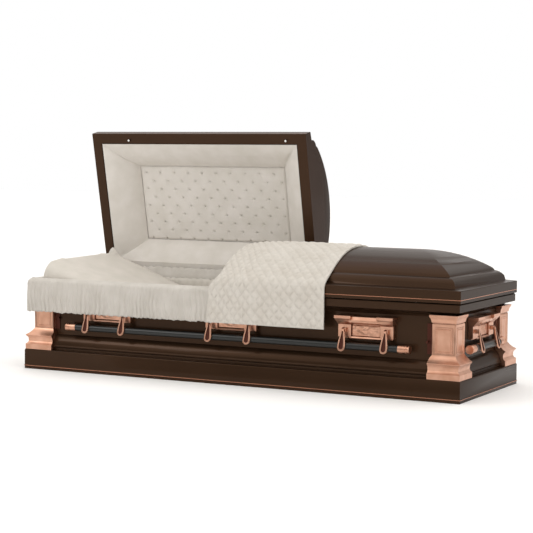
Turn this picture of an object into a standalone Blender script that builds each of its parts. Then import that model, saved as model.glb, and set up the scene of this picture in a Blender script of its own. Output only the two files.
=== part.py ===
"""A half-couch steel casket with swing-bar handles, head lid open and foot lid shut.

Metres, +Z up. The origin is the centre of the underside. +X is the foot end and -Y the front.
Most sections are written as (inset, height): how far inside the plinth's footprint, and how high.
"""

import math

import bmesh
import bpy
from mathutils import Matrix, Vector

# Overall size, and the clearance between pieces that touch
LENGTH = 2.130
WIDTH = 0.700
SHEET = 0.0012
GAP = 0.0004

# Body: plinth, moulding, wall and the rail that the lids shut on
BEAD = 0.0015
BEAD_LOW = 0.011
BEAD_HIGH = 0.018
PLINTH_TOP = 0.090
LEDGE = 0.030
NOSE_OUT = 0.006
NOSE_HEIGHT = 0.110
MOULDING_TOP = 0.162
WALL_INSET = 0.055
COVE_HEIGHT = 0.0225
RAIL_INSET = 0.011
RAIL_FACE = 0.035
RAIL_ABOVE = 0.069
RAIL_LIP = 0.012

# Lids: shut height, band, ledge, ogee and dome; where they part, and how far the head lid stands open
LID_SEAL = 0.0035
LID_INSET = 0.006
LID_FLANGE = 0.049
BAND = 0.052
LID_LEDGE = 0.039
LEDGE_RISE = 0.005
OGEE_FOOT = 0.0195
OGEE_RUN = 0.033
OGEE_RISE = 0.0234
DOME_STEP = 0.010
DOME_RISE = 0.0814
SPLIT_X = 0.0986
SPLIT_GAP = 0.003
HEAD_LID_OPEN = math.radians(78.0)

# Continuous hinge along the back rail
HINGE_RADIUS = 0.004
HINGE_CLEAR = 0.0005
HINGE_RISE = 0.009
HINGE_LEAF = 0.001
LEAF_HEIGHT = 0.022
HINGE_END = 0.012
KNUCKLES = 5

# Latch studs under the front of each lid, and their holes in the rail
STUD_RADIUS = 0.0055
STUD_DROP = 0.012
STUD_INSET = 0.037
STUD_HOLE = 0.009
HEAD_STUD_SPLIT = 0.1012
HEAD_STUD_END = 0.2183
FOOT_STUD_SPLIT = 0.110
FOOT_STUD_END = 0.2094

# Corner posts
POST_INSET = 0.035
POST_WIDTH = 0.102
POST_BELOW = 0.047
FOOT_HEIGHT = 0.0525
FOOT_FLARE = 0.0305
WAIST_FLARE = 0.0205
SKIRT_HEIGHT = 0.032
INNER_FLARE = 0.010
CAP_HEIGHT = 0.032
CAP_FLARE = 0.011
PANEL_MARGIN = 0.012
PANEL_DEPTH = 0.0012
WING_WIDTH = 0.027
WING_DEPTH = 0.0035
SCROLL_RADIUS = 0.006
SCROLL_OUT = 0.014
SCROLL_HEIGHT = 0.236

# Swing-bar handles: lugs on the wall, arms on pins, a bar and its tips
LUG_END = 0.430
LUG_WIDTH = 0.236
LUG_PLATE = 0.014
LUG_FALL = 0.034
LUG_RISE = 0.060
EAR_HALF = 0.029
EAR_OUT = 0.022
CAPITAL_OUT = 0.049
CAPITAL_FLARE = 0.008
CAPITAL_HEIGHT = 0.038
ARM_SPREAD = 0.190
ARM_LENGTH = 0.075
PIVOT_HEIGHT = 0.268
PIVOT_OUT = 0.030
PIN_RADIUS = 0.0025
KNUCKLE_RADIUS = 0.0055
TONGUE = 0.011
CHEEK = 0.004
CHEEK_HALF = 0.008
ARM_THICK = 0.006
ARM_OUT = 0.0052
ARM_LEAN = math.radians(14.0)
DROP_RADIUS = 0.017
SLOT_RADIUS = 0.0075
SLOT_NECK = 0.0025
SLOT_DEPTH = 0.004
BAR_RADIUS = 0.015
BAR_DROP = 0.0655
BAR_OUT = 0.036
COLLAR_WALL = 0.0035
COLLAR_WIDTH = 0.016
SIDE_BAR_END = 0.225
END_BAR_END = 0.150
TIP_LENGTH = 0.052
TIP_RADIUS = 0.0185

# Soft interior
LINING_WALL = 0.014
LINING_BOTTOM = 0.200
MATTRESS_TOP = 0.235
MATTRESS_RISE = 0.105
MATTRESS_HINGE_X = -0.350
MATTRESS_EDGE = 0.024
PILLOW_LENGTH = 0.500
PILLOW_HEAD = 0.508
PILLOW_SLOPE = 0.370
BORDER_WIDTH = 0.130
HINGE_BORDER = 0.085
BORDER_DEPTH = 0.116
BORDER_PUFF = 0.014
BORDER_THICK = 0.010
PANEL_THICK = 0.011
FLAP_THICK = 0.0012
FLAP_WALL = 0.003
FLAP_END = 0.008
FLAP_REACH = 0.0095

# Loose cloth over the rail and over the foot lid
HEM_HEIGHT = 0.266
SKIRT_ROLL = 0.021
SKIRT_CLOTH = 0.0035
ROLL_CLEAR = 0.006
THROW_END_X = 0.460
THROW_FOLD = 0.230
THROW_CLOTH = 0.011
THROW_ROLL = 0.034
THROW_BACK = 0.200

# Derived places that several pieces share
HALF_LENGTH = LENGTH / 2
HALF_WIDTH = WIDTH / 2
LUG_BOTTOM = PIVOT_HEIGHT - LUG_FALL
LUG_TOP = PIVOT_HEIGHT + LUG_RISE
RAIL_TOP = LUG_TOP + RAIL_ABOVE
POST_TOP = RAIL_TOP - POST_BELOW
LUG_SPACING = HALF_LENGTH - LUG_END
SIDE_BAR = LENGTH - 2 * SIDE_BAR_END
END_BAR = WIDTH - 2 * END_BAR_END
WALL_X = HALF_LENGTH - WALL_INSET
WALL_Y = HALF_WIDTH - WALL_INSET
WALL_TOP = RAIL_TOP - RAIL_FACE - COVE_HEIGHT
LID_BOTTOM = RAIL_TOP + LID_SEAL
LID_BAND_TOP = LID_BOTTOM + BAND
DOME_FOOT = LID_BAND_TOP + LEDGE_RISE + OGEE_FOOT + OGEE_RISE + 1.3 * DOME_STEP
CROWN = DOME_FOOT + DOME_RISE
HINGE_Y = HALF_WIDTH - LID_INSET + HINGE_RADIUS + HINGE_CLEAR
HINGE_Z = LID_BOTTOM + HINGE_RISE
INNER_SKIN = WALL_INSET + SHEET


def paint(name, colour, roughness, metallic):
    material = bpy.data.materials.new(name)
    material.use_nodes = True
    shader = material.node_tree.nodes["Principled BSDF"]
    shader.inputs["Base Color"].default_value = (*colour, 1.0)
    shader.inputs["Roughness"].default_value = roughness
    shader.inputs["Metallic"].default_value = metallic
    return material


def clear_scene():
    for obj in list(bpy.data.objects):
        bpy.data.objects.remove(obj, do_unlink=True)


def new_collection(name):
    collection = bpy.data.collections.new(name)
    bpy.context.scene.collection.children.link(collection)
    return collection


def place(name, mesh, material, collection):
    """A new object for a mesh, in its collection."""
    obj = bpy.data.objects.new(name, mesh)
    if not mesh.materials:
        mesh.materials.append(material)
    collection.objects.link(obj)
    return obj


def finish_mesh(bm, name):
    """A bmesh turned into a mesh, with doubled points merged and its faces pointing out."""
    bmesh.ops.remove_doubles(bm, verts=bm.verts, dist=1e-6)
    bmesh.ops.dissolve_degenerate(bm, edges=bm.edges, dist=1e-7)
    bmesh.ops.recalc_face_normals(bm, faces=bm.faces)
    mesh = bpy.data.meshes.new(name)
    bm.to_mesh(mesh)
    bm.free()
    return mesh


def loft(name, loops, ring=False, cap_first=False, cap_last=False):
    """Quads between closed loops of equally many points. A ring also joins the last loop to the first."""
    bm = bmesh.new()
    rows = [[bm.verts.new(point) for point in loop] for loop in loops]
    pairs = list(zip(rows, rows[1:]))
    if ring:
        pairs.append((rows[-1], rows[0]))
    for first, second in pairs:
        for i in range(len(first)):
            j = (i + 1) % len(first)
            bm.faces.new((first[i], first[j], second[j], second[i]))
    if cap_first:
        bm.faces.new(list(reversed(rows[0])))
    if cap_last:
        bm.faces.new(rows[-1])
    return finish_mesh(bm, name)


def box(name, low, high):
    bm = bmesh.new()
    middle = (Vector(low) + Vector(high)) / 2
    size = Vector(high) - Vector(low)
    matrix = Matrix.Translation(middle) @ Matrix.Diagonal((*size, 1.0))
    bmesh.ops.create_cube(bm, size=1.0, matrix=matrix)
    return finish_mesh(bm, name)


def rod(name, start, end, radius, sides):
    """A straight round rod between two points."""
    bm = bmesh.new()
    along = Vector(end) - Vector(start)
    matrix = Matrix.Translation((Vector(start) + Vector(end)) / 2) @ along.to_track_quat("Z", "Y").to_matrix().to_4x4()
    bmesh.ops.create_cone(
        bm, cap_ends=True, segments=sides, radius1=radius, radius2=radius, depth=along.length, matrix=matrix
    )
    return finish_mesh(bm, name)


def turned(name, profile, sides):
    """A solid turned about X, from (x, radius) points that start and end on the axis."""
    bm = bmesh.new()
    verts = [bm.verts.new((x, 0.0, radius)) for x, radius in profile]
    edges = [bm.edges.new(pair) for pair in zip(verts, verts[1:])]
    bmesh.ops.spin(
        bm, geom=verts + edges, cent=(0, 0, 0), axis=(1, 0, 0), angle=2 * math.pi, steps=sides, use_merge=True
    )
    return finish_mesh(bm, name)


def combine(name, base, joined, removed=()):
    """One mesh from a base mesh, those joined to it and those cut from it."""
    scene = bpy.context.scene.collection
    helpers = []
    target = bpy.data.objects.new(name, base)
    scene.objects.link(target)
    for operation, meshes in (("UNION", joined), ("DIFFERENCE", removed)):
        for mesh in meshes:
            helper = bpy.data.objects.new(name + "_tool", mesh)
            scene.objects.link(helper)
            helpers.append(helper)
            modifier = target.modifiers.new(operation.lower(), "BOOLEAN")
            modifier.operation = operation
            modifier.object = helper
    bpy.context.view_layer.update()
    graph = bpy.context.evaluated_depsgraph_get()
    mesh = bpy.data.meshes.new_from_object(target.evaluated_get(graph))
    mesh.name = name
    for helper in helpers + [target]:
        bpy.data.objects.remove(helper, do_unlink=True)
    return mesh


def arc(start, end, bulge, steps):
    """Points of a circular arc after start, up to end. Bulge is its height over its chord, to the left."""
    (x0, y0), (x1, y1) = start, end
    chord = math.hypot(x1 - x0, y1 - y0)
    half = 2 * math.atan(2 * bulge)
    radius = chord / (2 * math.sin(half))
    off = bulge * chord - radius
    centre_x = (x0 + x1) / 2 - (y1 - y0) / chord * off
    centre_y = (y0 + y1) / 2 + (x1 - x0) / chord * off
    first = math.atan2(y0 - centre_y, x0 - centre_x)
    points = []
    for step in range(1, steps + 1):
        angle = first - 2 * half * step / steps
        points.append((centre_x + abs(radius) * math.cos(angle), centre_y + abs(radius) * math.sin(angle)))
    return points


def rectangle(inset, height):
    """The loop of the whole footprint, inset and raised."""
    x = HALF_LENGTH - inset
    y = HALF_WIDTH - inset
    return [(-x, -y, height), (x, -y, height), (x, y, height), (-x, y, height)]


def thicken(obj, thickness):
    solid = obj.modifiers.new("sheet", "SOLIDIFY")
    solid.thickness = thickness
    solid.offset = -1.0
    solid.use_even_offset = True


def cut(obj, name, mesh, cutters):
    """Cuts a helper mesh from an object and keeps it as a hidden wire cutter."""
    tool = bpy.data.objects.new(name, mesh)
    cutters.objects.link(tool)
    tool.hide_render = True
    tool.display_type = "WIRE"
    modifier = obj.modifiers.new(name, "BOOLEAN")
    modifier.operation = "DIFFERENCE"
    modifier.object = tool


def point_faces(obj, towards):
    """Turns an open skin's faces so that those at its lowest or highest point look along Z as given."""
    mesh = obj.data
    outermost = min(mesh.polygons, key=lambda face: face.center.z * -towards)
    if outermost.normal.z * towards < 0:
        mesh.flip_normals()


# Body

def body_profile():
    """The outer section of the sheet, from the underside up over the rail to its inner lip."""
    nose = LEDGE - NOSE_OUT
    rail_low = RAIL_TOP - RAIL_FACE
    points = [(BEAD, 0.0), (BEAD, BEAD_LOW), (0.0, BEAD_LOW + BEAD), (0.0, BEAD_HIGH - BEAD), (BEAD, BEAD_HIGH)]
    points += [(BEAD, PLINTH_TOP - 0.003), (BEAD + 0.003, PLINTH_TOP), (LEDGE, PLINTH_TOP)]
    points += [(LEDGE, NOSE_HEIGHT - 0.008)]
    points += arc((LEDGE, NOSE_HEIGHT - 0.008), (nose, NOSE_HEIGHT), 0.2, 2)
    points += [(nose + 0.003, NOSE_HEIGHT + 0.004)]
    points += arc(points[-1], (WALL_INSET, MOULDING_TOP), 0.12, 4)
    points += [(WALL_INSET, WALL_TOP)]
    points += arc((WALL_INSET, WALL_TOP), (RAIL_INSET + 0.006, rail_low), -0.18, 3)
    points += [(RAIL_INSET, rail_low + 0.002), (RAIL_INSET, RAIL_TOP - 0.003), (RAIL_INSET + 0.003, RAIL_TOP)]
    points += [(WALL_INSET, RAIL_TOP), (WALL_INSET, RAIL_TOP - RAIL_LIP)]
    return points


def stud_places():
    """Where each lid's studs stand, as X, by lid."""
    head = [SPLIT_X - HEAD_STUD_SPLIT, HEAD_STUD_END - HALF_LENGTH]
    foot = [SPLIT_X + FOOT_STUD_SPLIT, HALF_LENGTH - FOOT_STUD_END]
    return {"head": sorted(head), "foot": sorted(foot)}


def build_shell(collection, cutters, paints):
    profile = body_profile()
    mesh = loft("body_shell", [rectangle(*point) for point in profile], cap_first=True)
    shell = place("body_shell", mesh, paints["steel"], collection)
    point_faces(shell, -1)
    thicken(shell, SHEET)
    stud_y = -(HALF_WIDTH - STUD_INSET)
    for number, x in enumerate(sum(stud_places().values(), [])):
        low = (x, stud_y, RAIL_TOP - 4 * SHEET)
        high = (x, stud_y, RAIL_TOP + 2 * SHEET)
        cut(shell, f"stud_hole_{number + 1}", rod("stud_hole", low, high, STUD_HOLE, 12), cutters)


def post_profile():
    """(Flare beyond the shaft, height) of a corner post, from its foot to its cap."""
    foot_top = PLINTH_TOP + FOOT_HEIGHT
    skirt_top = foot_top + 0.012 + SKIRT_HEIGHT
    cap_low = POST_TOP - CAP_HEIGHT
    points = [(FOOT_FLARE, PLINTH_TOP + GAP), (FOOT_FLARE, PLINTH_TOP + 0.024)]
    points += arc((FOOT_FLARE, PLINTH_TOP + 0.024), (WAIST_FLARE, foot_top - 0.008), 0.20, 3)
    points += [(WAIST_FLARE + 0.001, foot_top), (FOOT_FLARE, foot_top + 0.011), (FOOT_FLARE, foot_top + 0.013)]
    points += arc((FOOT_FLARE, foot_top + 0.013), (0.0, skirt_top), 0.07, 3)
    points += [(0.0, cap_low - 0.005), (-0.0025, cap_low - 0.004), (-0.0025, cap_low - 0.001)]
    points += [(CAP_FLARE * 0.15, cap_low), (CAP_FLARE * 0.4, cap_low + CAP_HEIGHT * 0.38)]
    points += [(CAP_FLARE * 0.5, cap_low + CAP_HEIGHT * 0.5), (CAP_FLARE * 0.9, cap_low + CAP_HEIGHT * 0.72)]
    points += [(CAP_FLARE, cap_low + CAP_HEIGHT * 0.8), (CAP_FLARE, POST_TOP)]
    return points


def corner_square(flare, height):
    """A post's loop, in (inset from the end, inset from the side, height)."""
    low = POST_INSET - flare
    high = POST_INSET + POST_WIDTH + min(flare, INNER_FLARE)
    return [(low, low, height), (high, low, height), (high, high, height), (low, high, height)]


def post_mesh():
    """The post in the corner's own frame, where X and Y are insets from the two plinth faces."""
    shaft = loft("post", [corner_square(*point) for point in post_profile()], cap_first=True, cap_last=True)
    shaft_low = PLINTH_TOP + FOOT_HEIGHT + 0.012 + SKIRT_HEIGHT
    shaft_high = POST_TOP - CAP_HEIGHT - 0.005
    far = POST_INSET + POST_WIDTH
    wing_back = WALL_INSET - GAP
    joined = []
    removed = []
    for swap in (False, True):
        wing_low = (far - 0.010, wing_back - WING_DEPTH, shaft_low)
        wing_high = (far + WING_WIDTH, wing_back, shaft_high)
        scroll_start = (far + WING_WIDTH - SCROLL_RADIUS / 2, wing_back, SCROLL_HEIGHT)
        scroll_end = (scroll_start[0], wing_back - SCROLL_OUT, SCROLL_HEIGHT)
        panel_low = (POST_INSET + PANEL_MARGIN, POST_INSET - 0.010, shaft_low + PANEL_MARGIN / 2)
        panel_high = (far - PANEL_MARGIN, POST_INSET + PANEL_DEPTH, shaft_high - PANEL_MARGIN)
        turn = (lambda p: (p[1], p[0], p[2])) if swap else (lambda p: p)
        joined.append(box("wing", turn(wing_low), turn(wing_high)))
        joined.append(rod("scroll", turn(scroll_start), turn(scroll_end), SCROLL_RADIUS, 8))
        removed.append(box("panel", turn(panel_low), turn(panel_high)))
    reach = POST_INSET + POST_WIDTH + 2 * WING_WIDTH
    profile = body_profile()
    ledge = profile.index((LEDGE, PLINTH_TOP))
    behind = [(LEDGE - GAP, PLINTH_TOP - LEDGE)]
    behind += [(inset - GAP, height) for inset, height in profile[ledge + 1 : -4]]
    loops = [[(e, e, z), (reach, e, z), (reach, reach, z), (e, reach, z)] for e, z in behind]
    removed.append(loft("behind", loops, cap_first=True, cap_last=True))
    return combine("corner_post", shaft, joined, removed)


def build_posts(collection, paints):
    pattern = post_mesh()
    for side, sy in (("front", -1), ("back", 1)):
        for end, sx in (("head", -1), ("foot", 1)):
            mesh = pattern.copy()
            to_world = Matrix.Translation((sx * HALF_LENGTH, sy * HALF_WIDTH, 0)) @ Matrix.Diagonal((-sx, -sy, 1, 1))
            mesh.transform(to_world)
            if sx * sy < 0:
                mesh.flip_normals()
            place(f"corner_{side}_{end}", mesh, paints["copper"], collection)


# Handles

def lug_mesh():
    """A handle lug, standing on the wall at Y = 0 and reaching out along -Y."""
    ear_top = LUG_TOP - CAPITAL_HEIGHT
    half = LUG_WIDTH / 2
    plate = box("plate", (-half, -LUG_PLATE, LUG_BOTTOM), (half, -GAP, LUG_TOP - 0.010))
    joined = []
    for side in (-1, 1):
        centre = side * ARM_SPREAD / 2
        low = (centre - EAR_HALF, -EAR_OUT, LUG_BOTTOM + 0.004)
        joined.append(box("ear", low, (centre + EAR_HALF, -GAP - 0.001, ear_top + 0.002)))
        sections = ((0.0, EAR_OUT + 0.002, 0.0), (0.2, EAR_OUT + 0.008, 0.25), (0.7, CAPITAL_OUT, 1.0), (1.0, CAPITAL_OUT, 1.0))
        loops = []
        for share, out, flare in sections:
            z = ear_top + share * CAPITAL_HEIGHT
            width = EAR_HALF + flare * CAPITAL_FLARE
            loops.append(
                [(centre - width, -out, z), (centre + width, -out, z), (centre + width, -2 * GAP, z), (centre - width, -2 * GAP, z)]
            )
        joined.append(loft("capital", loops, cap_first=True, cap_last=True))
        for cheek in (-1, 1):
            inner = centre + cheek * (TONGUE / 2 + 2 * GAP)
            outer = inner + cheek * CHEEK
            low = (min(inner, outer), -PIVOT_OUT - KNUCKLE_RADIUS, PIVOT_HEIGHT - CHEEK_HALF)
            high = (max(inner, outer), -EAR_OUT + 0.002, PIVOT_HEIGHT + CHEEK_HALF)
            joined.append(box("cheek", low, high))
        reach = TONGUE / 2 + 2 * GAP + CHEEK / 2
        axis = (-PIVOT_OUT, PIVOT_HEIGHT)
        joined.append(rod("pin", (centre - reach, *axis), (centre + reach, *axis), PIN_RADIUS, 6))
    beam_half = ARM_SPREAD / 2 - EAR_HALF + 0.004
    beam_out = CAPITAL_OUT - CAPITAL_FLARE
    beam = [(2 * GAP, ear_top + 0.003), (EAR_OUT, ear_top + 0.003), (beam_out - 0.003, ear_top + 0.011)]
    beam += [(beam_out, ear_top + 0.022), (beam_out - 0.007, LUG_TOP - 0.004), (2 * GAP, LUG_TOP - 0.004)]
    loops = [[(x, -out, z) for out, z in beam] for x in (-beam_half, beam_half)]
    joined.append(loft("beam", loops, cap_first=True, cap_last=True))
    lip = [(4 * GAP, LUG_BOTTOM - 0.004), (EAR_OUT - 0.003, LUG_BOTTOM - 0.004), (EAR_OUT, LUG_BOTTOM + 0.001)]
    lip += [(EAR_OUT - 0.003, LUG_BOTTOM + 0.007), (4 * GAP, LUG_BOTTOM + 0.007)]
    loops = [[(x, -out, z) for out, z in lip] for x in (-beam_half - 0.006, beam_half + 0.006)]
    joined.append(loft("lip", loops, cap_first=True, cap_last=True))
    return combine("lug", plate, joined)


def drop_outline(neck, radius, top, steps):
    """The teardrop of an arm or of its slot, as (across, below the pivot)."""
    waist = 0.55
    width = neck + (radius - neck) * math.sin(waist * math.pi / 2) ** 1.6
    points = [(neck, top), (neck, top + CHEEK_HALF + KNUCKLE_RADIUS), (width, top + (ARM_LENGTH - top) * waist)]
    mirrored = [(-across, below) for across, below in reversed(points)]
    for step in range(0, steps + 1):
        angle = math.pi / steps * step
        points.append((radius * math.cos(angle), ARM_LENGTH + radius * math.sin(angle)))
    return points + mirrored


def drop_mesh(outline, inner, outer):
    """A teardrop slab between two distances out, leaning like the arm's face."""
    loops = [[(across, -out, -below) for across, below in outline] for out in (inner, outer)]
    mesh = loft("drop", loops, cap_first=True, cap_last=True)
    mesh.transform(Matrix.Rotation(-ARM_LEAN, 4, "X"))
    return mesh


def arm_mesh():
    """An arm that hangs from the origin, its pivot, with a teardrop face and a collar round the bar."""
    plate = drop_mesh(drop_outline(TONGUE / 2, DROP_RADIUS, 0.0, 4), ARM_OUT, ARM_OUT + ARM_THICK)
    slot_outline = drop_outline(SLOT_NECK, SLOT_RADIUS, 4 * SLOT_NECK, 2)
    face = ARM_OUT + ARM_THICK
    slot = drop_mesh(slot_outline, face - SLOT_DEPTH, face + SLOT_DEPTH)
    half = COLLAR_WIDTH / 2
    bar_axis = (PIVOT_OUT - BAR_OUT, -BAR_DROP)
    knuckle = rod("knuckle", (-TONGUE / 2, 0, 0), (TONGUE / 2, 0, 0), KNUCKLE_RADIUS, 8)
    collar = rod("collar", (-half, *bar_axis), (half, *bar_axis), BAR_RADIUS + COLLAR_WALL, 10)
    reach = 2 * DROP_RADIUS
    bore = rod("bore", (-reach, *bar_axis), (reach, *bar_axis), BAR_RADIUS + 1.5 * GAP, 10)
    eye = rod("eye", (-reach, 0, 0), (reach, 0, 0), PIN_RADIUS + 1.5 * GAP, 6)
    return combine("arm", plate, [knuckle, collar], [slot, bore, eye])


def tip_mesh():
    """A bar's plated tip, from its inner face at the origin out along +X."""
    sleeve = TIP_RADIUS - 0.002
    profile = [(GAP, 0.0), (GAP, sleeve), (TIP_LENGTH * 0.64, sleeve), (TIP_LENGTH * 0.70, TIP_RADIUS)]
    profile += [(TIP_LENGTH * 0.94, TIP_RADIUS), (TIP_LENGTH, sleeve), (TIP_LENGTH, 0.0)]
    return turned("tip", profile, 8)


def build_handles(collection, paints):
    lug = lug_mesh()
    arm = arm_mesh()
    tip = tip_mesh()
    handles = {
        "front": (0.0, WALL_Y, (-LUG_SPACING, 0.0, LUG_SPACING), SIDE_BAR),
        "back": (math.pi, WALL_Y, (-LUG_SPACING, 0.0, LUG_SPACING), SIDE_BAR),
        "foot": (math.pi / 2, WALL_X, (0.0,), END_BAR),
        "head": (-math.pi / 2, WALL_X, (0.0,), END_BAR),
    }
    for side, (turn, wall, places, bar_length) in handles.items():
        to_wall = Matrix.Rotation(turn, 4, "Z") @ Matrix.Translation((0, -wall, 0))
        axis = bpy.data.objects.new(f"{side}_handle_axis", None)
        axis.matrix_world = to_wall @ Matrix.Translation((0, -PIVOT_OUT, PIVOT_HEIGHT))
        collection.objects.link(axis)
        for number, x in enumerate(places):
            piece = place(f"{side}_lug_{number + 1}", lug, paints["copper"], collection)
            piece.matrix_world = to_wall @ Matrix.Translation((x, 0, 0))
            for letter, shift in (("a", -ARM_SPREAD / 2), ("b", ARM_SPREAD / 2)):
                hung = place(f"{side}_arm_{number + 1}{letter}", arm, paints["copper"], collection)
                hung.parent = axis
                hung.location = (x + shift, 0, 0)
        bar_end = bar_length / 2 - TIP_LENGTH
        bar = place(
            f"{side}_bar", rod("bar", (-bar_end, 0, 0), (bar_end, 0, 0), BAR_RADIUS, 10), paints["black"], collection
        )
        bar.parent = axis
        bar.location = (0, PIVOT_OUT - BAR_OUT, -BAR_DROP)
        for letter, turned_by in (("a", math.pi), ("b", 0.0)):
            end = place(f"{side}_tip_{letter}", tip, paints["copper"], collection)
            end.parent = axis
            end.location = (-math.cos(math.pi - turned_by) * bar_end, PIVOT_OUT - BAR_OUT, -BAR_DROP)
            end.rotation_euler = (0, 0, turned_by)


# Lids

def lid_profile():
    """The outer section of a lid's sheet, from the flange's inner edge round the band to the crown."""
    ledge_end = (LID_INSET + LID_LEDGE, LID_BAND_TOP + LEDGE_RISE)
    ogee_low = (ledge_end[0] + 0.005, ledge_end[1] + OGEE_FOOT)
    ogee_top = (ogee_low[0] + OGEE_RUN, ogee_low[1] + OGEE_RISE)
    dome_foot = (ogee_top[0] + DOME_STEP, DOME_FOOT)
    points = [(LID_INSET + LID_FLANGE, LID_BOTTOM), (LID_INSET, LID_BOTTOM), (LID_INSET, LID_BAND_TOP - 0.002)]
    points += [(LID_INSET + 0.002, LID_BAND_TOP), ledge_end, ogee_low]
    points += arc(ogee_low, ogee_top, 0.10, 3)
    points += [(ogee_top[0] + 0.002, ogee_top[1] + 0.005), dome_foot]
    points += arc(dome_foot, (HALF_WIDTH, CROWN), dome_bulge(HALF_WIDTH - dome_foot[0], DOME_RISE), 9)
    return points


def dome_bulge(run, rise):
    """Bulge of the arc that climbs this much over this run and ends level."""
    return math.tan(math.atan2(rise, run) / 2) / 2


def lid_loop(inset, height, split, away, split_inset=0.0, hinge_inset=None):
    """A lid's loop: the footprint's three outer sides, and the plane where the lids part."""
    x = away * (HALF_LENGTH - inset)
    y = HALF_WIDTH - inset
    back_y = y if hinge_inset is None else HALF_WIDTH - hinge_inset
    cut_x = split + away * split_inset
    return [(x, -y, height), (cut_x, -y, height), (cut_x, back_y, height), (x, back_y, height)]


def hinge_side(inset, outer):
    """The inset on the hinge side of a lid's lining, where the border is narrower."""
    return outer + (inset - outer) * HINGE_BORDER / BORDER_WIDTH


def lid_skin(name, split, away):
    loops = []
    for number, (inset, height) in enumerate(lid_profile()):
        loops.append(lid_loop(inset, height, split, away, LID_FLANGE if number == 0 else 0.0))
    return loft(name, loops)


def border_mesh(name, split, away):
    """The puffed cloth border inside a lid, four mitred sides of one ring, with a flap at the hinge side."""
    outer = LID_INSET + LID_FLANGE + 2 * SHEET
    inner = outer + BORDER_WIDTH
    low = LID_BOTTOM + 2 * SHEET
    high = low + BORDER_DEPTH
    front = [(outer, low)] + arc((outer, low), (inner, high), -BORDER_PUFF / math.hypot(BORDER_WIDTH, BORDER_DEPTH), 5)
    back = [(inner, high + BORDER_THICK), (outer + 0.004, low + BORDER_THICK + 0.003)]
    loops = [lid_loop(e, z, split, away, e - LID_INSET, hinge_side(e, outer)) for e, z in front + back]
    ring = loft(name, loops, ring=True)
    ends = sorted((split + away * (outer - LID_INSET + FLAP_END), away * (HALF_LENGTH - outer - FLAP_END)))
    hems = sorted((split + away * (outer - LID_INSET + FLAP_END), away * (HALF_LENGTH - FLAP_REACH)))
    flap_top = LID_BOTTOM - GAP
    hem = HALF_WIDTH - RAIL_INSET - GAP
    turn = HALF_WIDTH - outer
    flap = box("flap", (hems[0], turn - FLAP_WALL, flap_top - FLAP_THICK), (hems[1], hem, flap_top))
    riser = box("riser", (ends[0], turn - FLAP_WALL, flap_top - FLAP_THICK), (ends[1], turn, low + BORDER_THICK / 2))
    return combine(name, ring, [riser, flap]), outer, inner, high


def build_lid(name, split, away, axis, collection, paints):
    """A lid, its cloth and its studs, modelled shut and hung from its axis."""
    skin = place(f"{name}_lid", lid_skin(name, split, away), paints["steel"], collection)
    point_faces(skin, 1)
    thicken(skin, SHEET)
    pieces = [skin]
    border, outer, inner, high = border_mesh(name, split, away)
    pieces.append(place(f"{name}_lid_border", border, paints["cloth"], collection))
    panel_in = inner + 2 * GAP
    hinge_in = hinge_side(inner, outer) + 2 * GAP
    levels = (high - FLAP_THICK, high + PANEL_THICK)
    loops = [lid_loop(panel_in, z, split, away, panel_in - LID_INSET, hinge_in) for z in levels]
    panel = loft("panel", loops, cap_first=True, cap_last=True)
    pieces.append(place(f"{name}_lid_panel", panel, paints["cloth"], collection))
    stud_y = -(HALF_WIDTH - STUD_INSET)
    for number, x in enumerate(stud_places()[name]):
        low = (x, stud_y, LID_BOTTOM - STUD_DROP)
        stud = rod("stud", low, (x, stud_y, LID_BOTTOM - GAP), STUD_RADIUS, 10)
        pieces.append(place(f"{name}_lid_stud_{number + 1}", stud, paints["nickel"], collection))
    pieces.append(place(f"{name}_lid_hinge", hinge_mesh(split, away, True), paints["steel"], collection))
    for piece in pieces:
        piece.parent = axis
        piece.matrix_parent_inverse = Matrix.Translation(-Vector((0, HINGE_Y, HINGE_Z)))


def hinge_mesh(split, away, on_lid):
    """One leaf of a continuous hinge with every other knuckle, on the lid's band or on the rail's back."""
    near = split + away * HINGE_END
    far = away * (HALF_LENGTH - LID_INSET - HINGE_END)
    low, high = sorted((near, far))
    pitch = (high - low) / KNUCKLES
    if on_lid:
        face = HALF_WIDTH - LID_INSET + GAP
        foot = HINGE_Z + HINGE_RADIUS + GAP
        back = face + HINGE_LEAF
        section = [(face, foot), (back, foot), (back, foot + LEAF_HEIGHT), (face, foot + LEAF_HEIGHT)]
        web_low = (face, HINGE_Z)
        web_high = (face + 2 * HINGE_LEAF, foot + HINGE_LEAF / 2)
        wanted = range(0, KNUCKLES, 2)
    else:
        face = HALF_WIDTH - RAIL_INSET + GAP
        shelf = RAIL_TOP + GAP
        riser = HINGE_Y - HINGE_RADIUS / 2
        stop = HINGE_Z - HINGE_RADIUS - 2 * GAP
        foot = RAIL_TOP - LEAF_HEIGHT
        section = [(face, foot), (face + HINGE_LEAF, foot), (face + HINGE_LEAF, shelf), (riser, shelf)]
        section += [(riser, stop), (riser - HINGE_LEAF, stop)]
        section += [(riser - HINGE_LEAF, shelf + HINGE_LEAF), (face, shelf + HINGE_LEAF)]
        web_low = (riser - 0.8 * HINGE_LEAF, stop - HINGE_LEAF)
        web_high = (riser - 0.2 * HINGE_LEAF, HINGE_Z - HINGE_RADIUS / 2)
        wanted = range(1, KNUCKLES, 2)
    leaf = loft("leaf", [[(x, *point) for point in section] for x in (low, high)], cap_first=True, cap_last=True)
    joined = []
    for number in wanted:
        start = low + number * pitch + GAP
        end = low + (number + 1) * pitch - GAP
        joined.append(rod("knuckle", (start, HINGE_Y, HINGE_Z), (end, HINGE_Y, HINGE_Z), HINGE_RADIUS, 6))
        joined.append(box("web", (start + GAP, *web_low), (end - GAP, *web_high)))
    return combine("hinge", leaf, joined)


# Soft interior

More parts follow.
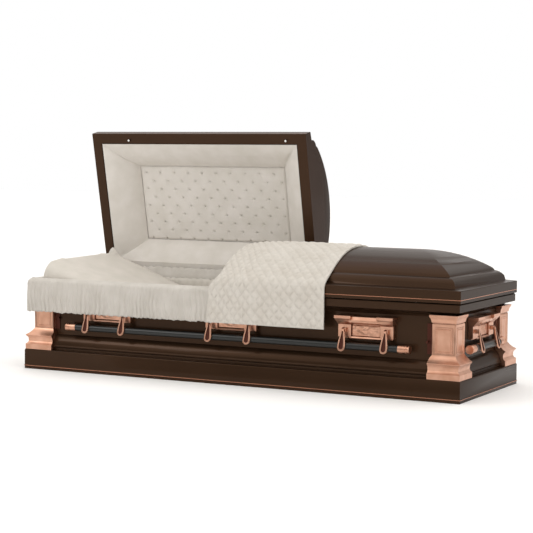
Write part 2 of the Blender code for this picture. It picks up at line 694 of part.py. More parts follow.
def build_lining(collection, paints):
    outer = INNER_SKIN + 2 * GAP
    inner = outer + LINING_WALL
    top = RAIL_TOP + GAP
    section = [(outer, LINING_BOTTOM), (outer, top - 0.003), (outer + 0.003, top), (inner - 0.004, top)]
    section += [(inner, top - 0.005), (inner, LINING_BOTTOM)]
    mesh = loft("wall_lining", [rectangle(*point) for point in section], ring=True)
    place("wall_lining", mesh, paints["cloth"], collection)


def mattress_height(x):
    """The mattress's top, level towards the foot and raised towards the head."""
    head = -(HALF_LENGTH - INNER_SKIN)
    share = max(0.0, (MATTRESS_HINGE_X - x) / (MATTRESS_HINGE_X - head))
    return MATTRESS_TOP + MATTRESS_RISE * share


def soft_section(x, half, bottom, top, corner):
    """A closed loop across the bed with rounded upper and lower corners."""
    loop = []
    for sy, edge, turn in ((-1, bottom, -1), (1, bottom, -1), (1, top, 1), (-1, top, 1)):
        inner = half - corner
        middle = edge - turn * corner
        quarter = []
        for step in range(0, 4):
            angle = math.pi / 6 * step
            quarter.append((x, sy * (inner + corner * math.cos(angle)), middle + turn * corner * math.sin(angle)))
        loop += quarter if sy * turn > 0 else quarter[::-1]
    return loop


def build_mattress(collection, paints):
    reach = HALF_LENGTH - INNER_SKIN - LINING_WALL - MATTRESS_EDGE
    half = HALF_WIDTH - INNER_SKIN - LINING_WALL - 0.004
    bottom = SHEET + GAP
    loops = []
    for x in (-reach, -reach + 0.03, -0.75, -0.5, MATTRESS_HINGE_X, 0.3, reach - 0.03, reach):
        pinch = 0.012 if abs(x) == reach else 0.0
        loops.append(soft_section(x, half - pinch, bottom, mattress_height(x) - pinch, 0.030))
    mesh = loft("mattress", loops, cap_first=True, cap_last=True)
    place("mattress", mesh, paints["cloth"], collection)


def build_pillow(collection, paints):
    head = -(HALF_LENGTH - INNER_SKIN - LINING_WALL - 0.008)
    half = HALF_WIDTH - INNER_SKIN - LINING_WALL - 0.006
    loops = []
    for share in (0.0, 0.04, 0.14, 0.35, 0.6, 0.8, 0.93, 1.0):
        x = head + share * PILLOW_LENGTH
        bottom = mattress_height(x) + 3 * GAP
        full = PILLOW_HEAD - PILLOW_SLOPE * share * PILLOW_LENGTH
        swell = min(1.0, math.sin(math.pi * min(max(share, 0.012), 0.988)) ** 0.35)
        if share < 0.5:
            swell = min(1.0, 0.55 + 0.45 * math.sin(math.pi * min(share * 3.4, 0.5)))
        top = bottom + max(0.012, (full - bottom) * swell)
        corner = min(0.045, (top - bottom) * 0.49)
        loops.append(soft_section(x, half - 0.03 * (1 - swell), bottom, top, corner))
    mesh = loft("pillow", loops, cap_first=True, cap_last=True)
    place("pillow", mesh, paints["cloth"], collection)


# Loose cloth

def skirt_section():
    """The gathered skirt: a soft roll on the rail, and the cloth that hangs from it."""
    base = RAIL_TOP + GAP
    back = RAIL_INSET - GAP
    low_back = WALL_INSET - CAPITAL_OUT - 2 * GAP
    inner = WALL_INSET - 0.004
    roll = [(inner, base), (inner - 0.002, base + SKIRT_ROLL * 0.6)]
    roll += arc(roll[-1], (back - SKIRT_CLOTH, base), -0.36, 5)
    drop = [(back - SKIRT_CLOTH, WALL_TOP), (low_back - SKIRT_CLOTH, LUG_TOP + 0.006)]
    drop += [(low_back - SKIRT_CLOTH, HEM_HEIGHT), (low_back, HEM_HEIGHT), (low_back, LUG_TOP + 0.006)]
    drop += [(back, WALL_TOP + 0.010), (back, base)]
    return roll + drop


def build_skirt(collection, paints):
    """Along the front from the lids' parting, round the head end, and as a roll along the hinge side."""
    foot_x = SPLIT_X - THROW_FOLD + 0.04
    back_y = HALF_WIDTH - POST_INSET - 0.010
    section = skirt_section()
    loops = []
    for corner in range(3):
        loop = []
        for inset, height in section:
            x = -(HALF_LENGTH - inset)
            y = -(HALF_WIDTH - inset)
            loop.append(((foot_x, y, height), (x, y, height), (x, back_y, height))[corner])
        loops.append(loop)
    run = loft("run", loops, cap_first=True, cap_last=True)
    base = RAIL_TOP + GAP
    roll = [(WALL_INSET, base), (WALL_INSET - 0.002, base + SKIRT_ROLL * 0.6)]
    roll += arc(roll[-1], (RAIL_INSET + ROLL_CLEAR, base), -0.36, 5)
    ends = (-(HALF_LENGTH - RAIL_INSET - ROLL_CLEAR), SPLIT_X - 2 * ROLL_CLEAR)
    loops = [[(x, HALF_WIDTH - inset, height) for inset, height in roll] for x in ends]
    back = loft("back", loops, cap_first=True, cap_last=True)
    place("extendover", combine("extendover", run, [back]), paints["cloth"], collection)


def throw_base():
    """The throw's inner line as (Y, height), from the front hem over the crown to its back edge."""
    low_face = HALF_WIDTH - WALL_INSET + CAPITAL_OUT + SKIRT_CLOTH + 4 * GAP
    over = [(inset, height) for inset, height in lid_profile() if height > LID_BAND_TOP - 0.001]
    front = [(-low_face, HEM_HEIGHT), (-low_face, HEM_HEIGHT + 0.030), (-low_face, LID_BOTTOM)]
    front += [(-low_face, LID_BAND_TOP)] + [(inset - HALF_WIDTH, height + 2 * GAP) for inset, height in over]
    back = [(-y, z) for y, z in reversed(front[:-1]) if -y <= THROW_BACK]
    return front + back


def pushed(path, distances):
    """A line of (Y, height) moved along its own normals, away from the lid where positive."""
    moved = []
    for number, (y, z) in enumerate(path):
        y0, z0 = path[max(number - 1, 0)]
        y1, z1 = path[min(number + 1, len(path) - 1)]
        length = math.hypot(y1 - y0, z1 - z0)
        distance = distances[number]
        moved.append((y - (z1 - z0) / length * distance, z + (y1 - y0) / length * distance))
    return moved


def build_throw(collection, paints):
    """A quilted throw over the foot lid's cut end, its end folded under in a soft roll."""
    fold_x = SPLIT_X - THROW_FOLD
    base = throw_base()
    free = [0.0 if z < RAIL_TOP + 2 * SKIRT_ROLL else 1.0 for y, z in base]
    thick = THROW_CLOTH
    stations = (
        (THROW_END_X, 0.0, thick * 0.5),
        (THROW_END_X - 0.012, 0.0, thick),
        (SPLIT_X + THROW_FOLD, 0.0, thick * 1.3),
        (SPLIT_X, 0.0, thick * 1.3),
        (SPLIT_X - 0.010, 0.0, thick * 1.3),
        (fold_x + 0.060, -0.6 * THROW_ROLL, thick),
        (fold_x + 0.016, -0.6 * THROW_ROLL, thick),
        (fold_x, -0.2 * THROW_ROLL, thick * 0.5),
    )
    loops = []
    for x, inside, outside in stations:
        inner = pushed(base, [share * inside for share in free])
        outer = pushed(base, [outside] * len(base))
        loops.append([(x, y, z) for y, z in outer + inner[::-1]])
    mesh = loft("throw", loops, cap_first=True, cap_last=True)
    return place("throw", mesh, paints["quilt"], collection)


def main():
    clear_scene()
    casket = new_collection("casket")
    cutters = new_collection("cutters")
    paints = {
        "steel": paint("brown_enamelled_steel", (0.062, 0.036, 0.024), 0.28, 0.2),
        "copper": paint("copper_plated_castings", (0.62, 0.33, 0.23), 0.30, 1.0),
        "black": paint("black_enamelled_bar", (0.026, 0.028, 0.025), 0.25, 0.1),
        "nickel": paint("bright_nickel", (0.75, 0.74, 0.72), 0.18, 1.0),
        "cloth": paint("cream_crepe", (0.66, 0.62, 0.54), 0.85, 0.0),
        "quilt": paint("cream_quilting", (0.68, 0.64, 0.57), 0.90, 0.0),
    }
    build_shell(casket, cutters, paints)
    build_posts(casket, paints)
    build_handles(casket, paints)
    build_lining(casket, paints)
    build_mattress(casket, paints)
    build_pillow(casket, paints)
    build_skirt(casket, paints)
    for name, split, away, opened in (
        ("head", SPLIT_X - SPLIT_GAP / 2, -1, HEAD_LID_OPEN),
        ("foot", SPLIT_X + SPLIT_GAP / 2, 1, 0.0),
    ):
        axis = bpy.data.objects.new(f"{name}_lid_axis", None)
        axis.location = (0, HINGE_Y, HINGE_Z)
        axis.rotation_euler = (-opened, 0, 0)
        casket.objects.link(axis)
        build_lid(name, split, away, axis, casket, paints)
        rail_leaf = hinge_mesh(split, away, False)
        place(f"{name}_rail_hinge", rail_leaf, paints["steel"], casket)
        if name == "foot":
            throw = build_throw(casket, paints)
            throw.parent = axis
            throw.matrix_parent_inverse = Matrix.Translation(-Vector((0, HINGE_Y, HINGE_Z)))


main()
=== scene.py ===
"""Half-couch steel casket: enamel, copper castings and cream cloth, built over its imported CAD.

Metres, in the part's frame: origin at the centre of the underside, +X foot end, -Y front, +Z up.
"""

import math

import bmesh
import bpy
from mathutils import Matrix, Vector, noise


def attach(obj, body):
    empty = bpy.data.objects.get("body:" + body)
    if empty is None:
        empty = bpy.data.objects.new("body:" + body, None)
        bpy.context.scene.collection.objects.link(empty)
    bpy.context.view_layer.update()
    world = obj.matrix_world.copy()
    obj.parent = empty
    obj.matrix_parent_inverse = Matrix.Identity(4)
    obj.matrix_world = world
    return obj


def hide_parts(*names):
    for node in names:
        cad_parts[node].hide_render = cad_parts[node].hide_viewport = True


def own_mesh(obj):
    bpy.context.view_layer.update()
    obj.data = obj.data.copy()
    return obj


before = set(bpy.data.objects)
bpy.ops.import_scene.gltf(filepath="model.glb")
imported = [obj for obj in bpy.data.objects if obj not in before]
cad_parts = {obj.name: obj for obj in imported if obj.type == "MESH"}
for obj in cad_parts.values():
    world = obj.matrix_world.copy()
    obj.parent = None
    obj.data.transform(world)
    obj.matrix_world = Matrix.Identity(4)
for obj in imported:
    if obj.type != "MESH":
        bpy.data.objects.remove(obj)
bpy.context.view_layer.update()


# Body shell: plinth, mouldings, walls and rail, one shell of 1.2 mm sheet steel, pressed and welded.
# Sprayed with a bronze-brown metallic enamel, baked and clear-coated, so it is dark and warm from the
# front and takes a soft sheen on top. A copper line is painted round the foot of the plinth.

LENGTH = 2.130
WIDTH = 0.700
HALF_LENGTH = LENGTH / 2
HALF_WIDTH = WIDTH / 2
LID_INSET = 0.006
SHEET_EDGE = 0.0012
MITRE_REACH = 3e-4
FLAKES_PER_METRE = 1400.0
PEEL_PER_METRE = 260.0
PLINTH_STRIPE = (0.0135, 0.0155)
STRIPE_PROUD = 0.0003

def linear(code):
    """A hex sRGB colour as linear RGBA."""
    values = [int(code[i : i + 2], 16) / 255 for i in (1, 3, 5)]
    return tuple(v / 12.92 if v <= 0.04045 else ((v + 0.055) / 1.055) ** 2.4 for v in values) + (1.0,)


def add(tree, kind, inputs=None, **settings):
    """A node with its settings, its plain values and its links."""
    node = tree.nodes.new(kind)
    for name, value in settings.items():
        setattr(node, name, value)
    for name, value in (inputs or {}).items():
        if isinstance(value, bpy.types.NodeSocket):
            tree.links.new(value, node.inputs[name])
        else:
            node.inputs[name].default_value = value
    return node


def new_material(name):
    """An empty node material: its tree, its object coordinates and its principled shader."""
    material = bpy.data.materials.new(name)
    material.use_nodes = True
    tree = material.node_tree
    tree.nodes.clear()
    shader = add(tree, "ShaderNodeBsdfPrincipled")
    output = add(tree, "ShaderNodeOutputMaterial")
    tree.links.new(shader.outputs["BSDF"], output.inputs["Surface"])
    coords = add(tree, "ShaderNodeTexCoord").outputs["Object"]
    return material, tree, coords, shader


def plug(tree, shader, **inputs):
    """Sets or links inputs of the principled shader, spaces in their names written as underscores."""
    for name, value in inputs.items():
        socket = shader.inputs[name.replace("_", " ")]
        if isinstance(value, bpy.types.NodeSocket):
            tree.links.new(value, socket)
        else:
            socket.default_value = value


def ramp(tree, factor, stops):
    """A colour ramp through (place, hex) stops."""
    node = add(tree, "ShaderNodeValToRGB", {"Fac": factor})
    band = node.color_ramp
    while len(band.elements) < len(stops):
        band.elements.new(0.5)
    for element, (place, code) in zip(band.elements, stops):
        element.position = place
        element.color = linear(code)
    return node.outputs["Color"]


def link_object(name, mesh, material, smooth=35.0):
    """An object for a finished mesh, smooth but for edges sharper than the angle."""
    obj = bpy.data.objects.new(name, mesh)
    bpy.context.scene.collection.objects.link(obj)
    mesh.materials.clear()
    mesh.materials.append(material)
    mesh.shade_smooth()
    mesh.set_sharp_from_angle(angle=math.radians(smooth))
    return obj


def from_bmesh(name, bm, material, smooth=35.0):
    bmesh.ops.recalc_face_normals(bm, faces=bm.faces)
    mesh = bpy.data.meshes.new(name)
    bm.to_mesh(mesh)
    bm.free()
    return link_object(name, mesh, material, smooth)


def rounded(obj, width, segments=2, angle=38.0):
    """Rounds the edges of a casting or pressing."""
    bevel = obj.modifiers.new("edges", "BEVEL")
    bevel.width = width
    bevel.segments = segments
    bevel.limit_method = "ANGLE"
    bevel.angle_limit = math.radians(angle)
    bevel.use_clamp_overlap = True
    bevel.harden_normals = True
    return obj


def settle(obj, body, stands_for=()):
    """Puts a finished piece on its body, in place of the CAD nodes it stands for."""
    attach(obj, body)
    if stands_for:
        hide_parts(*stands_for)
    return obj


def mitred(point, split):
    """Whether a point lies where two sides of a rectangular pressing meet."""
    x_in = HALF_LENGTH - abs(point.x)
    y_in = HALF_WIDTH - abs(point.y)
    at_split = split is not None and abs(abs(point.x - split) - (y_in - LID_INSET)) < MITRE_REACH
    return abs(x_in - y_in) < MITRE_REACH or at_split


def dressed(node, material, body, width, split=None, unplace=Vector):
    """A CAD node's own solid, its facets merged up to the mitres and its edges rounded."""
    bm = bmesh.new()
    bm.from_mesh(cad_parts[node].data)
    bmesh.ops.remove_doubles(bm, verts=bm.verts, dist=2e-5)
    corners = {vert for vert in bm.verts if mitred(unplace(vert.co), split)}
    for edge in bm.edges:
        edge.seam = all(vert in corners for vert in edge.verts)
    bmesh.ops.dissolve_limit(
        bm, angle_limit=math.radians(1.0), verts=bm.verts, edges=bm.edges, delimit={"SEAM"}
    )
    obj = from_bmesh(node + "_look", bm, material, 30.0)
    return settle(rounded(obj, width), body, [node])


def enamel():
    """Bronze-brown automotive enamel with fine metallic flake, sprayed, baked and clear-coated."""
    material, tree, coords, shader = new_material("brown_enamel")
    # Flakes of 0.7 mm, far coarser than real ones, so that they show at all
    flake = add(tree, "ShaderNodeTexVoronoi", {"Vector": coords, "Scale": FLAKES_PER_METRE}, feature="F1")
    drift = add(tree, "ShaderNodeTexNoise", {"Vector": coords, "Scale": 2.2, "Detail": 2.0})
    both = add(
        tree, "ShaderNodeMath", {0: flake.outputs["Distance"], 1: drift.outputs["Fac"]}, operation="MULTIPLY"
    )
    colour = ramp(tree, both.outputs[0], [(0.0, "#443124"), (0.30, "#3a291d"), (0.7, "#302217")])
    # Orange peel: the 4 mm ripple that a sprayed coat dries with
    peel = add(tree, "ShaderNodeTexNoise", {"Vector": coords, "Scale": PEEL_PER_METRE, "Detail": 1.0})
    bump = add(tree, "ShaderNodeBump", {"Height": peel.outputs["Fac"], "Strength": 0.05, "Distance": 0.0004})
    plug(tree, shader, Base_Color=colour, Metallic=0.45, Roughness=0.29, Normal=bump.outputs["Normal"])
    plug(tree, shader, Coat_Weight=0.12, Coat_Roughness=0.06, Coat_IOR=1.40, Specular_IOR_Level=0.2)
    plug(tree, shader, Specular_Tint=linear("#7a5a40"))
    return material

ENAMEL = enamel()
dressed("body_shell", ENAMEL, "shell", SHEET_EDGE)


def plain_metal(name, code, metallic, roughness, coat=0.0):
    """A plated, painted or enamelled metal part, its gloss a little uneven."""
    material, tree, coords, shader = new_material(name)
    grain = add(tree, "ShaderNodeTexNoise", {"Vector": coords, "Scale": 300.0, "Detail": 2.0})
    spread = {"Value": grain.outputs["Fac"], "To Min": roughness * 0.85, "To Max": roughness * 1.15}
    rough = add(tree, "ShaderNodeMapRange", spread)
    plug(tree, shader, Base_Color=linear(code), Metallic=metallic, Roughness=rough.outputs[0])
    plug(tree, shader, Coat_Weight=coat, Coat_Roughness=0.05)
    return material


def skin(name, rows, material, loop=False, ring=False, caps=False, smooth=35.0):
    """Quads through rows of points. Loop closes each row, ring the stack of rows; caps fill both ends."""
    bm = bmesh.new()
    grid = [[bm.verts.new(point) for point in row] for row in rows]
    pairs = list(zip(grid, grid[1:]))
    if ring:
        pairs.append((grid[-1], grid[0]))
    width = len(grid[0]) if loop else len(grid[0]) - 1
    for first, second in pairs:
        for i in range(width):
            j = (i + 1) % len(first)
            bm.faces.new((first[i], first[j], second[j], second[i]))
    if caps:
        bm.faces.new(grid[0])
        bm.faces.new(grid[-1])
    return from_bmesh(name, bm, material, smooth)


def footprint(inset, height, split=None, away=1):
    """Corners of the whole footprint, or of a lid's, inset and raised."""
    x = HALF_LENGTH - inset
    y = HALF_WIDTH - inset
    if split is None:
        return [(-x, -y, height), (x, -y, height), (x, y, height), (-x, y, height)]
    return [(split, -y, height), (away * x, -y, height), (away * x, y, height), (split, y, height)]


def stripe(name, insets, heights, body, split=None, away=1, place=Vector):
    """A painted copper line: a thin raised band round the outside."""
    rows = [[place(point) for point in footprint(i, z, split, away)] for i, z in zip(insets, heights)]
    obj = skin(name, rows, STRIPING, loop=split is None)
    return settle(obj, body)

STRIPING = plain_metal("copper_striping", "#c98b6e", 0.8, 0.30)
stripe("plinth_stripe", (-STRIPE_PROUD, -STRIPE_PROUD), PLINTH_STRIPE, "shell")


# Lids: two crowned pressings of the same enamelled steel, each turned over at its rim and hung on a
# continuous hinge at the back. Polished nickel latch studs stand under the front rims, and each rim
# carries its own painted copper line. The head lid stands open.

LID_BOTTOM = 0.4005
HINGE = Vector((0.0, 0.3485, 0.4095))
LID_OPEN = math.radians(78.0)
SPLITS = {"head": (0.0971, -1), "foot": (0.1001, 1)}
LID_EDGE = 0.0022
LEAF_EDGE = 0.0003
LID_STRIPE = (0.4135, 0.4153)
RIM_FACE = LID_INSET - STRIPE_PROUD

def shut(point):
    """A point of the open head lid, where it stands with the lid shut."""
    return HINGE + Matrix.Rotation(LID_OPEN, 3, "X") @ (Vector(point) - HINGE)


def opened(point):
    """A point of the shut head lid, where it stands with the lid open."""
    return HINGE + Matrix.Rotation(-LID_OPEN, 3, "X") @ (Vector(point) - HINGE)

NICKEL = plain_metal("bright_nickel", "#d8d6d2", 1.0, 0.16)
for lid, unplace, replace in (("head", shut, opened), ("foot", Vector, Vector)):
    body = f"{lid}_lid"
    dressed(body, ENAMEL, body, LID_EDGE, SPLITS[lid][0], unplace)
    stripe(f"{lid}_lid_stripe", (RIM_FACE, RIM_FACE), LID_STRIPE, body, *SPLITS[lid], place=replace)
    dressed(f"{lid}_rail_hinge", ENAMEL, "shell", LEAF_EDGE)
    dressed(f"{lid}_lid_hinge", ENAMEL, body, LEAF_EDGE)
    for number in (1, 2):
        dressed(f"{lid}_lid_stud_{number}", NICKEL, body, SHEET_EDGE)


# Corner posts: four hollow zinc castings, copper plated and brushed to a satin, bolted over the body's
# corners. Painted shade darkens the plating in the hollows and on the wings behind the column, and each
# outer face carries a double raised frame.

POST_EDGE = 0.0012
POST_WING = 0.138
WING_HEIGHTS = (0.185, 0.315)
FRAME_EDGE = 0.035
FRAME_SPAN = 0.102
FRAME_FACE = 0.0360
FRAME_HALF = (0.0370, 0.0520)
FRAME_MIDDLE = 0.2468
FRAME_STEPS = [(0.0, -0.001), (0.0004, 0.0016), (0.0036, 0.0016), (0.0046, 0.0002)]
FRAME_STEPS += [(0.0066, 0.0002), (0.0076, 0.0018), (0.0092, 0.0018), (0.0100, 0.0006)]

def copper():
    """Cast zinc, copper plated and brushed to a satin, with painted shade darkening the hollows."""
    material, tree, coords, shader = new_material("copper_plate")
    grain = add(tree, "ShaderNodeTexNoise", {"Vector": coords, "Scale": 420.0, "Detail": 3.0, "Roughness": 0.6})
    drift = add(tree, "ShaderNodeTexNoise", {"Vector": coords, "Scale": 22.0, "Detail": 2.0})
    bright = ramp(tree, drift.outputs["Fac"], [(0.3, "#c4937a"), (0.7, "#d6a78f")])
    # Ambient occlusion mixes in a dark copper: painted shade in the hollows.
    hollow_shade = add(tree, "ShaderNodeAmbientOcclusion", {"Distance": 0.016}, samples=8)
    shade = add(tree, "ShaderNodeMapRange", {"Value": hollow_shade.outputs["AO"], "From Min": 0.25, "From Max": 0.75})
    shading = {"Factor": shade.outputs[0], "A": linear("#5e2918"), "B": bright}
    mix = add(tree, "ShaderNodeMix", shading, data_type="RGBA")
    bump = add(tree, "ShaderNodeBump", {"Height": grain.outputs["Fac"], "Strength": 0.18, "Distance": 0.0006})
    rough = add(tree, "ShaderNodeMapRange", {"Value": grain.outputs["Fac"], "To Min": 0.26, "To Max": 0.42})
    plug(tree, shader, Base_Color=mix.outputs["Result"], Metallic=1.0, Roughness=rough.outputs[0])
    plug(tree, shader, Normal=bump.outputs["Normal"])
    return material

COPPER = copper()
# A darker copper for the wings behind the columns and the arms' slots: painted shade.
SHADE_COPPER = plain_metal("painted_shade_copper", "#4a2013", 0.6, 0.55)

def relief(name, centre, u, v, half_u, half_v, steps, body="shell"):
    """A raised rectangular moulding on a flat face: (distance in from its edge, height) steps, then a flat."""
    normal = Vector(u).cross(Vector(v)).normalized()
    rows = []
    for inset, height in steps:
        a, b = half_u - inset, half_v - inset
        base = Vector(centre) + normal * height
        rows.append([base + Vector(u) * x + Vector(v) * z for x, z in ((-a, -b), (a, -b), (a, b), (-a, b))])
    obj = skin(name, rows, COPPER, loop=True, caps=True)
    return settle(rounded(obj, 0.0005), body)

for sy, side in ((-1, "front"), (1, "back")):
    for sx, end in ((-1, "head"), (1, "foot")):
        name = f"corner_{side}_{end}"
        post = dressed(name, COPPER, "shell", POST_EDGE)
        # The wing faces behind the column take the darker copper: painted shade.
        post.data.materials.append(SHADE_COPPER)
        for face in post.data.polygons:
            along = max(HALF_LENGTH - abs(face.center.x), HALF_WIDTH - abs(face.center.y))
            if along > POST_WING and WING_HEIGHTS[0] < face.center.z < WING_HEIGHTS[1]:
                face.material_index = 1
        middle = FRAME_EDGE + FRAME_SPAN / 2
        on_side = (sx * (HALF_LENGTH - middle), sy * (HALF_WIDTH - FRAME_FACE), FRAME_MIDDLE)
        on_end = (sx * (HALF_LENGTH - FRAME_FACE), sy * (HALF_WIDTH - middle), FRAME_MIDDLE)
        relief(f"{name}_frame_side", on_side, (-sy, 0, 0), (0, 0, 1), *FRAME_HALF, FRAME_STEPS)
        relief(f"{name}_frame_end", on_end, (0, sx, 0), (0, 0, 1), *FRAME_HALF, FRAME_STEPS)


# Handle lugs: zinc castings of the same plating, screwed to the walls, three to a side and one to an
# end. Each has a cornice above, a pin at both ends, and between them a sunk plaque of cast leaf ground.

WALL_Y = 0.295
WALL_X = 1.010
LUG_SPACING = 0.635
LUG_EDGE = 0.0010
PLAQUE_HALF = 0.0655
PLAQUE_LOW = 0.2415
PLAQUE_HIGH = 0.2895
PLAQUE_OUT = 0.0140
PLAQUE_RIM = 0.004
PLAQUE_GRID = (90, 36)
SIDES = {
    "front": (0.0, WALL_Y, (-LUG_SPACING, 0.0, LUG_SPACING)),
    "back": (math.pi, WALL_Y, (-LUG_SPACING, 0.0, LUG_SPACING)),
    "foot": (math.pi / 2, WALL_X, (0.0,)),
    "head": (-math.pi / 2, WALL_X, (0.0,)),
}

def waver(*where):
    """Smooth noise between -1 and 1 at a point."""
    return noise.noise(Vector(where))


def leaf_ground(x, z):
    """How far the plaque's cast leaf ground stands out from its floor."""
    leaf = abs(waver(55 * x, 0.5, 60 * z)) + 0.5 * abs(waver(140 * x, 3.0, 130 * z))
    turn = 150 * math.hypot(x % PLAQUE_HALF - 0.0328, z - 0.262)
    scroll = math.sin(turn + 4 * waver(30 * x, 2.0, 30 * z))
    return 0.0022 + 0.0016 * leaf + 0.0006 * scroll


for side, (turn, wall, places) in SIDES.items():
    to_wall = Matrix.Rotation(turn, 4, "Z") @ Matrix.Translation((0, -wall, 0))
    for number, shift in enumerate(places):
        dressed(f"{side}_lug_{number + 1}", COPPER, "shell", LUG_EDGE)
        rows = []
        for i in range(PLAQUE_GRID[0] + 1):
            x = -PLAQUE_HALF + 2 * PLAQUE_HALF * i / PLAQUE_GRID[0]
            row = []
            for j in range(PLAQUE_GRID[1] + 1):
                z = PLAQUE_LOW + (PLAQUE_HIGH - PLAQUE_LOW) * j / PLAQUE_GRID[1]
                inside = min(x + PLAQUE_HALF, PLAQUE_HALF - x, z - PLAQUE_LOW, PLAQUE_HIGH - z)
                out = PLAQUE_OUT + min(1.0, inside / PLAQUE_RIM) * leaf_ground(x, z)
                row.append(to_wall @ Vector((shift + x, -out, z)))
            rows.append(row)
        plaque = skin(f"{side}_plaque_{number + 1}", rows, COPPER, smooth=60.0)
        settle(plaque, "shell")


# Swing handles: a black enamelled tube along each side and end, with turned and plated tips, carried by
# teardrop arms that swing on the lugs' pins. Each arm is a plated casting with a sunk slot painted dark as
# shade, a knuckle on its pin and a collar round the tube. At rest they hang.

PIVOT_OUT = 0.030
PIVOT_Z = 0.268
ARM_SPREAD = 0.095
ARM_LENGTH = 0.075
ARM_LEAN = math.radians(14.0)
BAR_CENTRE = (-0.006, -0.0655)
BAR_RADIUS = 0.015
BAR_LENGTHS = {"front": 1.680, "back": 1.680, "foot": 0.400, "head": 0.400}
TIP_LENGTH = 0.052
SLOT_RINGS = (5, 7)

def shells(name, parts, material, smooth=35.0):
    """One mesh of several closed skins, each (rows, whether the stack of rows is a ring)."""
    bm = bmesh.new()
    for rows, ring in parts:
        grid = [[bm.verts.new(point) for point in row] for row in rows]
        pairs = list(zip(grid, grid[1:])) + ([(grid[-1], grid[0])] if ring else [])
        for first, second in pairs:
            for i in range(len(first)):
                j = (i + 1) % len(first)
                bm.faces.new((first[i], first[j], second[j], second[i]))
        if not ring:
            bm.faces.new(grid[0])
            bm.faces.new(grid[-1])
    return from_bmesh(name, bm, material, smooth)


def turned_rows(profile, centre, sides=28):
    """Circles about an X axis through centre (Y, Z), from (x, radius) points."""
    rows = []
    for x, radius in profile:
        turn = [math.tau * k / sides for k in range(sides)]
        rows.append([(x, centre[0] + radius * math.cos(a), centre[1] + radius * math.sin(a)) for a in turn])
    return rows


def teardrop(neck, radius, top, out, steps=16):
    """A teardrop outline this far out: narrow at the pivot, round round the bar, leaning outwards."""
    down = [top + (ARM_LENGTH - top) * k / steps for k in range(steps)]
    edge = [(neck + (radius - neck) * math.sin(k / steps * math.pi / 2) ** 1.5, z) for k, z in enumerate(down)]
    turns = [math.pi * k / 14 for k in range(15)]
    round_end = [(radius * math.cos(a), ARM_LENGTH + radius * math.sin(a)) for a in turns]
    outline = edge + round_end + [(-x, z) for x, z in reversed(edge)]
    lean = Matrix.Rotation(-ARM_LEAN, 3, "X")
    return [lean @ Vector((x, -out, -z)) for x, z in outline]


def arm_parts(at):
    """A teardrop arm with its sunk slot, its knuckle on the pin and its collar round the bar."""
    drop = [
        teardrop(0.0050, 0.0163, 0.000, 0.0052),
        teardrop(0.0056, 0.0170, -0.001, 0.0060),
        teardrop(0.0056, 0.0170, -0.001, 0.0100),
        teardrop(0.0050, 0.0163, 0.000, 0.0110),
        teardrop(0.0042, 0.0150, 0.002, 0.0115),
        teardrop(0.0026, 0.0098, 0.008, 0.0112),
        teardrop(0.0023, 0.0090, 0.009, 0.0104),
        teardrop(0.0021, 0.0086, 0.010, 0.0080),
    ]
    collar = [(-0.0080, 0.0153), (-0.0080, 0.0158), (-0.0070, 0.0163), (0.0070, 0.0163), (0.0080, 0.0158)]
    collar += [(0.0080, 0.0153)]
    knuckle = [(-0.0055, 0.0046), (-0.0049, 0.0054), (0.0049, 0.0054), (0.0055, 0.0046)]
    parts = [(drop, False), (turned_rows(collar, BAR_CENTRE), True), (turned_rows(knuckle, (0, 0), 20), False)]
    return [([[at @ Vector(p) for p in row] for row in rows], ring) for rows, ring in parts]


def tip_profile():
    """A plated tip from its inner face out: sleeve, groove, bead and flared end."""
    points = [(0.0004, 0.0), (0.0004, 0.0163), (0.0012, 0.0171), (0.0300, 0.0171), (0.0312, 0.0160)]
    points += [(0.0330, 0.0160), (0.0345, 0.0178), (0.0372, 0.0184), (0.0398, 0.0178), (0.0412, 0.0158)]
    points += [(0.0430, 0.0158), (0.0480, 0.0176), (0.0512, 0.0184), (0.0520, 0.0176), (0.0508, 0.0120)]
    return points + [(0.0500, 0.0)]

BAR_BLACK = plain_metal("bar_enamel", "#0c0e0c", 0.0, 0.36, 0.05)
for side, (turn, wall, places) in SIDES.items():
    body = f"{side}_handle"
    to_wall = Matrix.Rotation(turn, 4, "Z") @ Matrix.Translation((0, -wall - PIVOT_OUT, PIVOT_Z))
    for number, shift in enumerate(places):
        for letter, spread in (("a", -ARM_SPREAD), ("b", ARM_SPREAD)):
            parts = arm_parts(to_wall @ Matrix.Translation((shift + spread, 0, 0)))
            node = f"{side}_arm_{number + 1}{letter}"
            arm = shells(node + "_look", parts, COPPER)
            # The slot's faces take the darker copper: painted shade.
            arm.data.materials.append(SHADE_COPPER)
            around = len(parts[0][0][0])
            for face in [*range(SLOT_RINGS[0] * around, SLOT_RINGS[1] * around), SLOT_RINGS[1] * around + 1]:
                arm.data.polygons[face].material_index = 1
            settle(arm, body, [node])
    end = BAR_LENGTHS[side] / 2 - TIP_LENGTH
    profile = [(-end, BAR_RADIUS - 0.0004), (-end, BAR_RADIUS), (end, BAR_RADIUS), (end, BAR_RADIUS - 0.0004)]
    rows = [[to_wall @ Vector(p) for p in row] for row in turned_rows(profile, BAR_CENTRE, 36)]
    bar = shells(f"{side}_bar_look", [(rows, False)], BAR_BLACK)
    settle(bar, body, [f"{side}_bar"])
    for letter, way in (("a", -1), ("b", 1)):
        profile = [(way * (end + x), max(radius, 1e-5)) for x, radius in tip_profile()]
        rows = [[to_wall @ Vector(p) for p in row] for row in turned_rows(profile, BAR_CENTRE)]
        tip = shells(f"{side}_tip_{letter}_look", [(rows, False)], COPPER)
        settle(tip, body, [f"{side}_tip_{letter}"])


# Lid linings: in each lid, a border of cream polyester crepe puffed over wadding on four sides, mitred
# at its corners and narrower along the hinges. Its lower hem is a single sheet, stretched under the
# lid's flange on the hinge side and tacked to it.

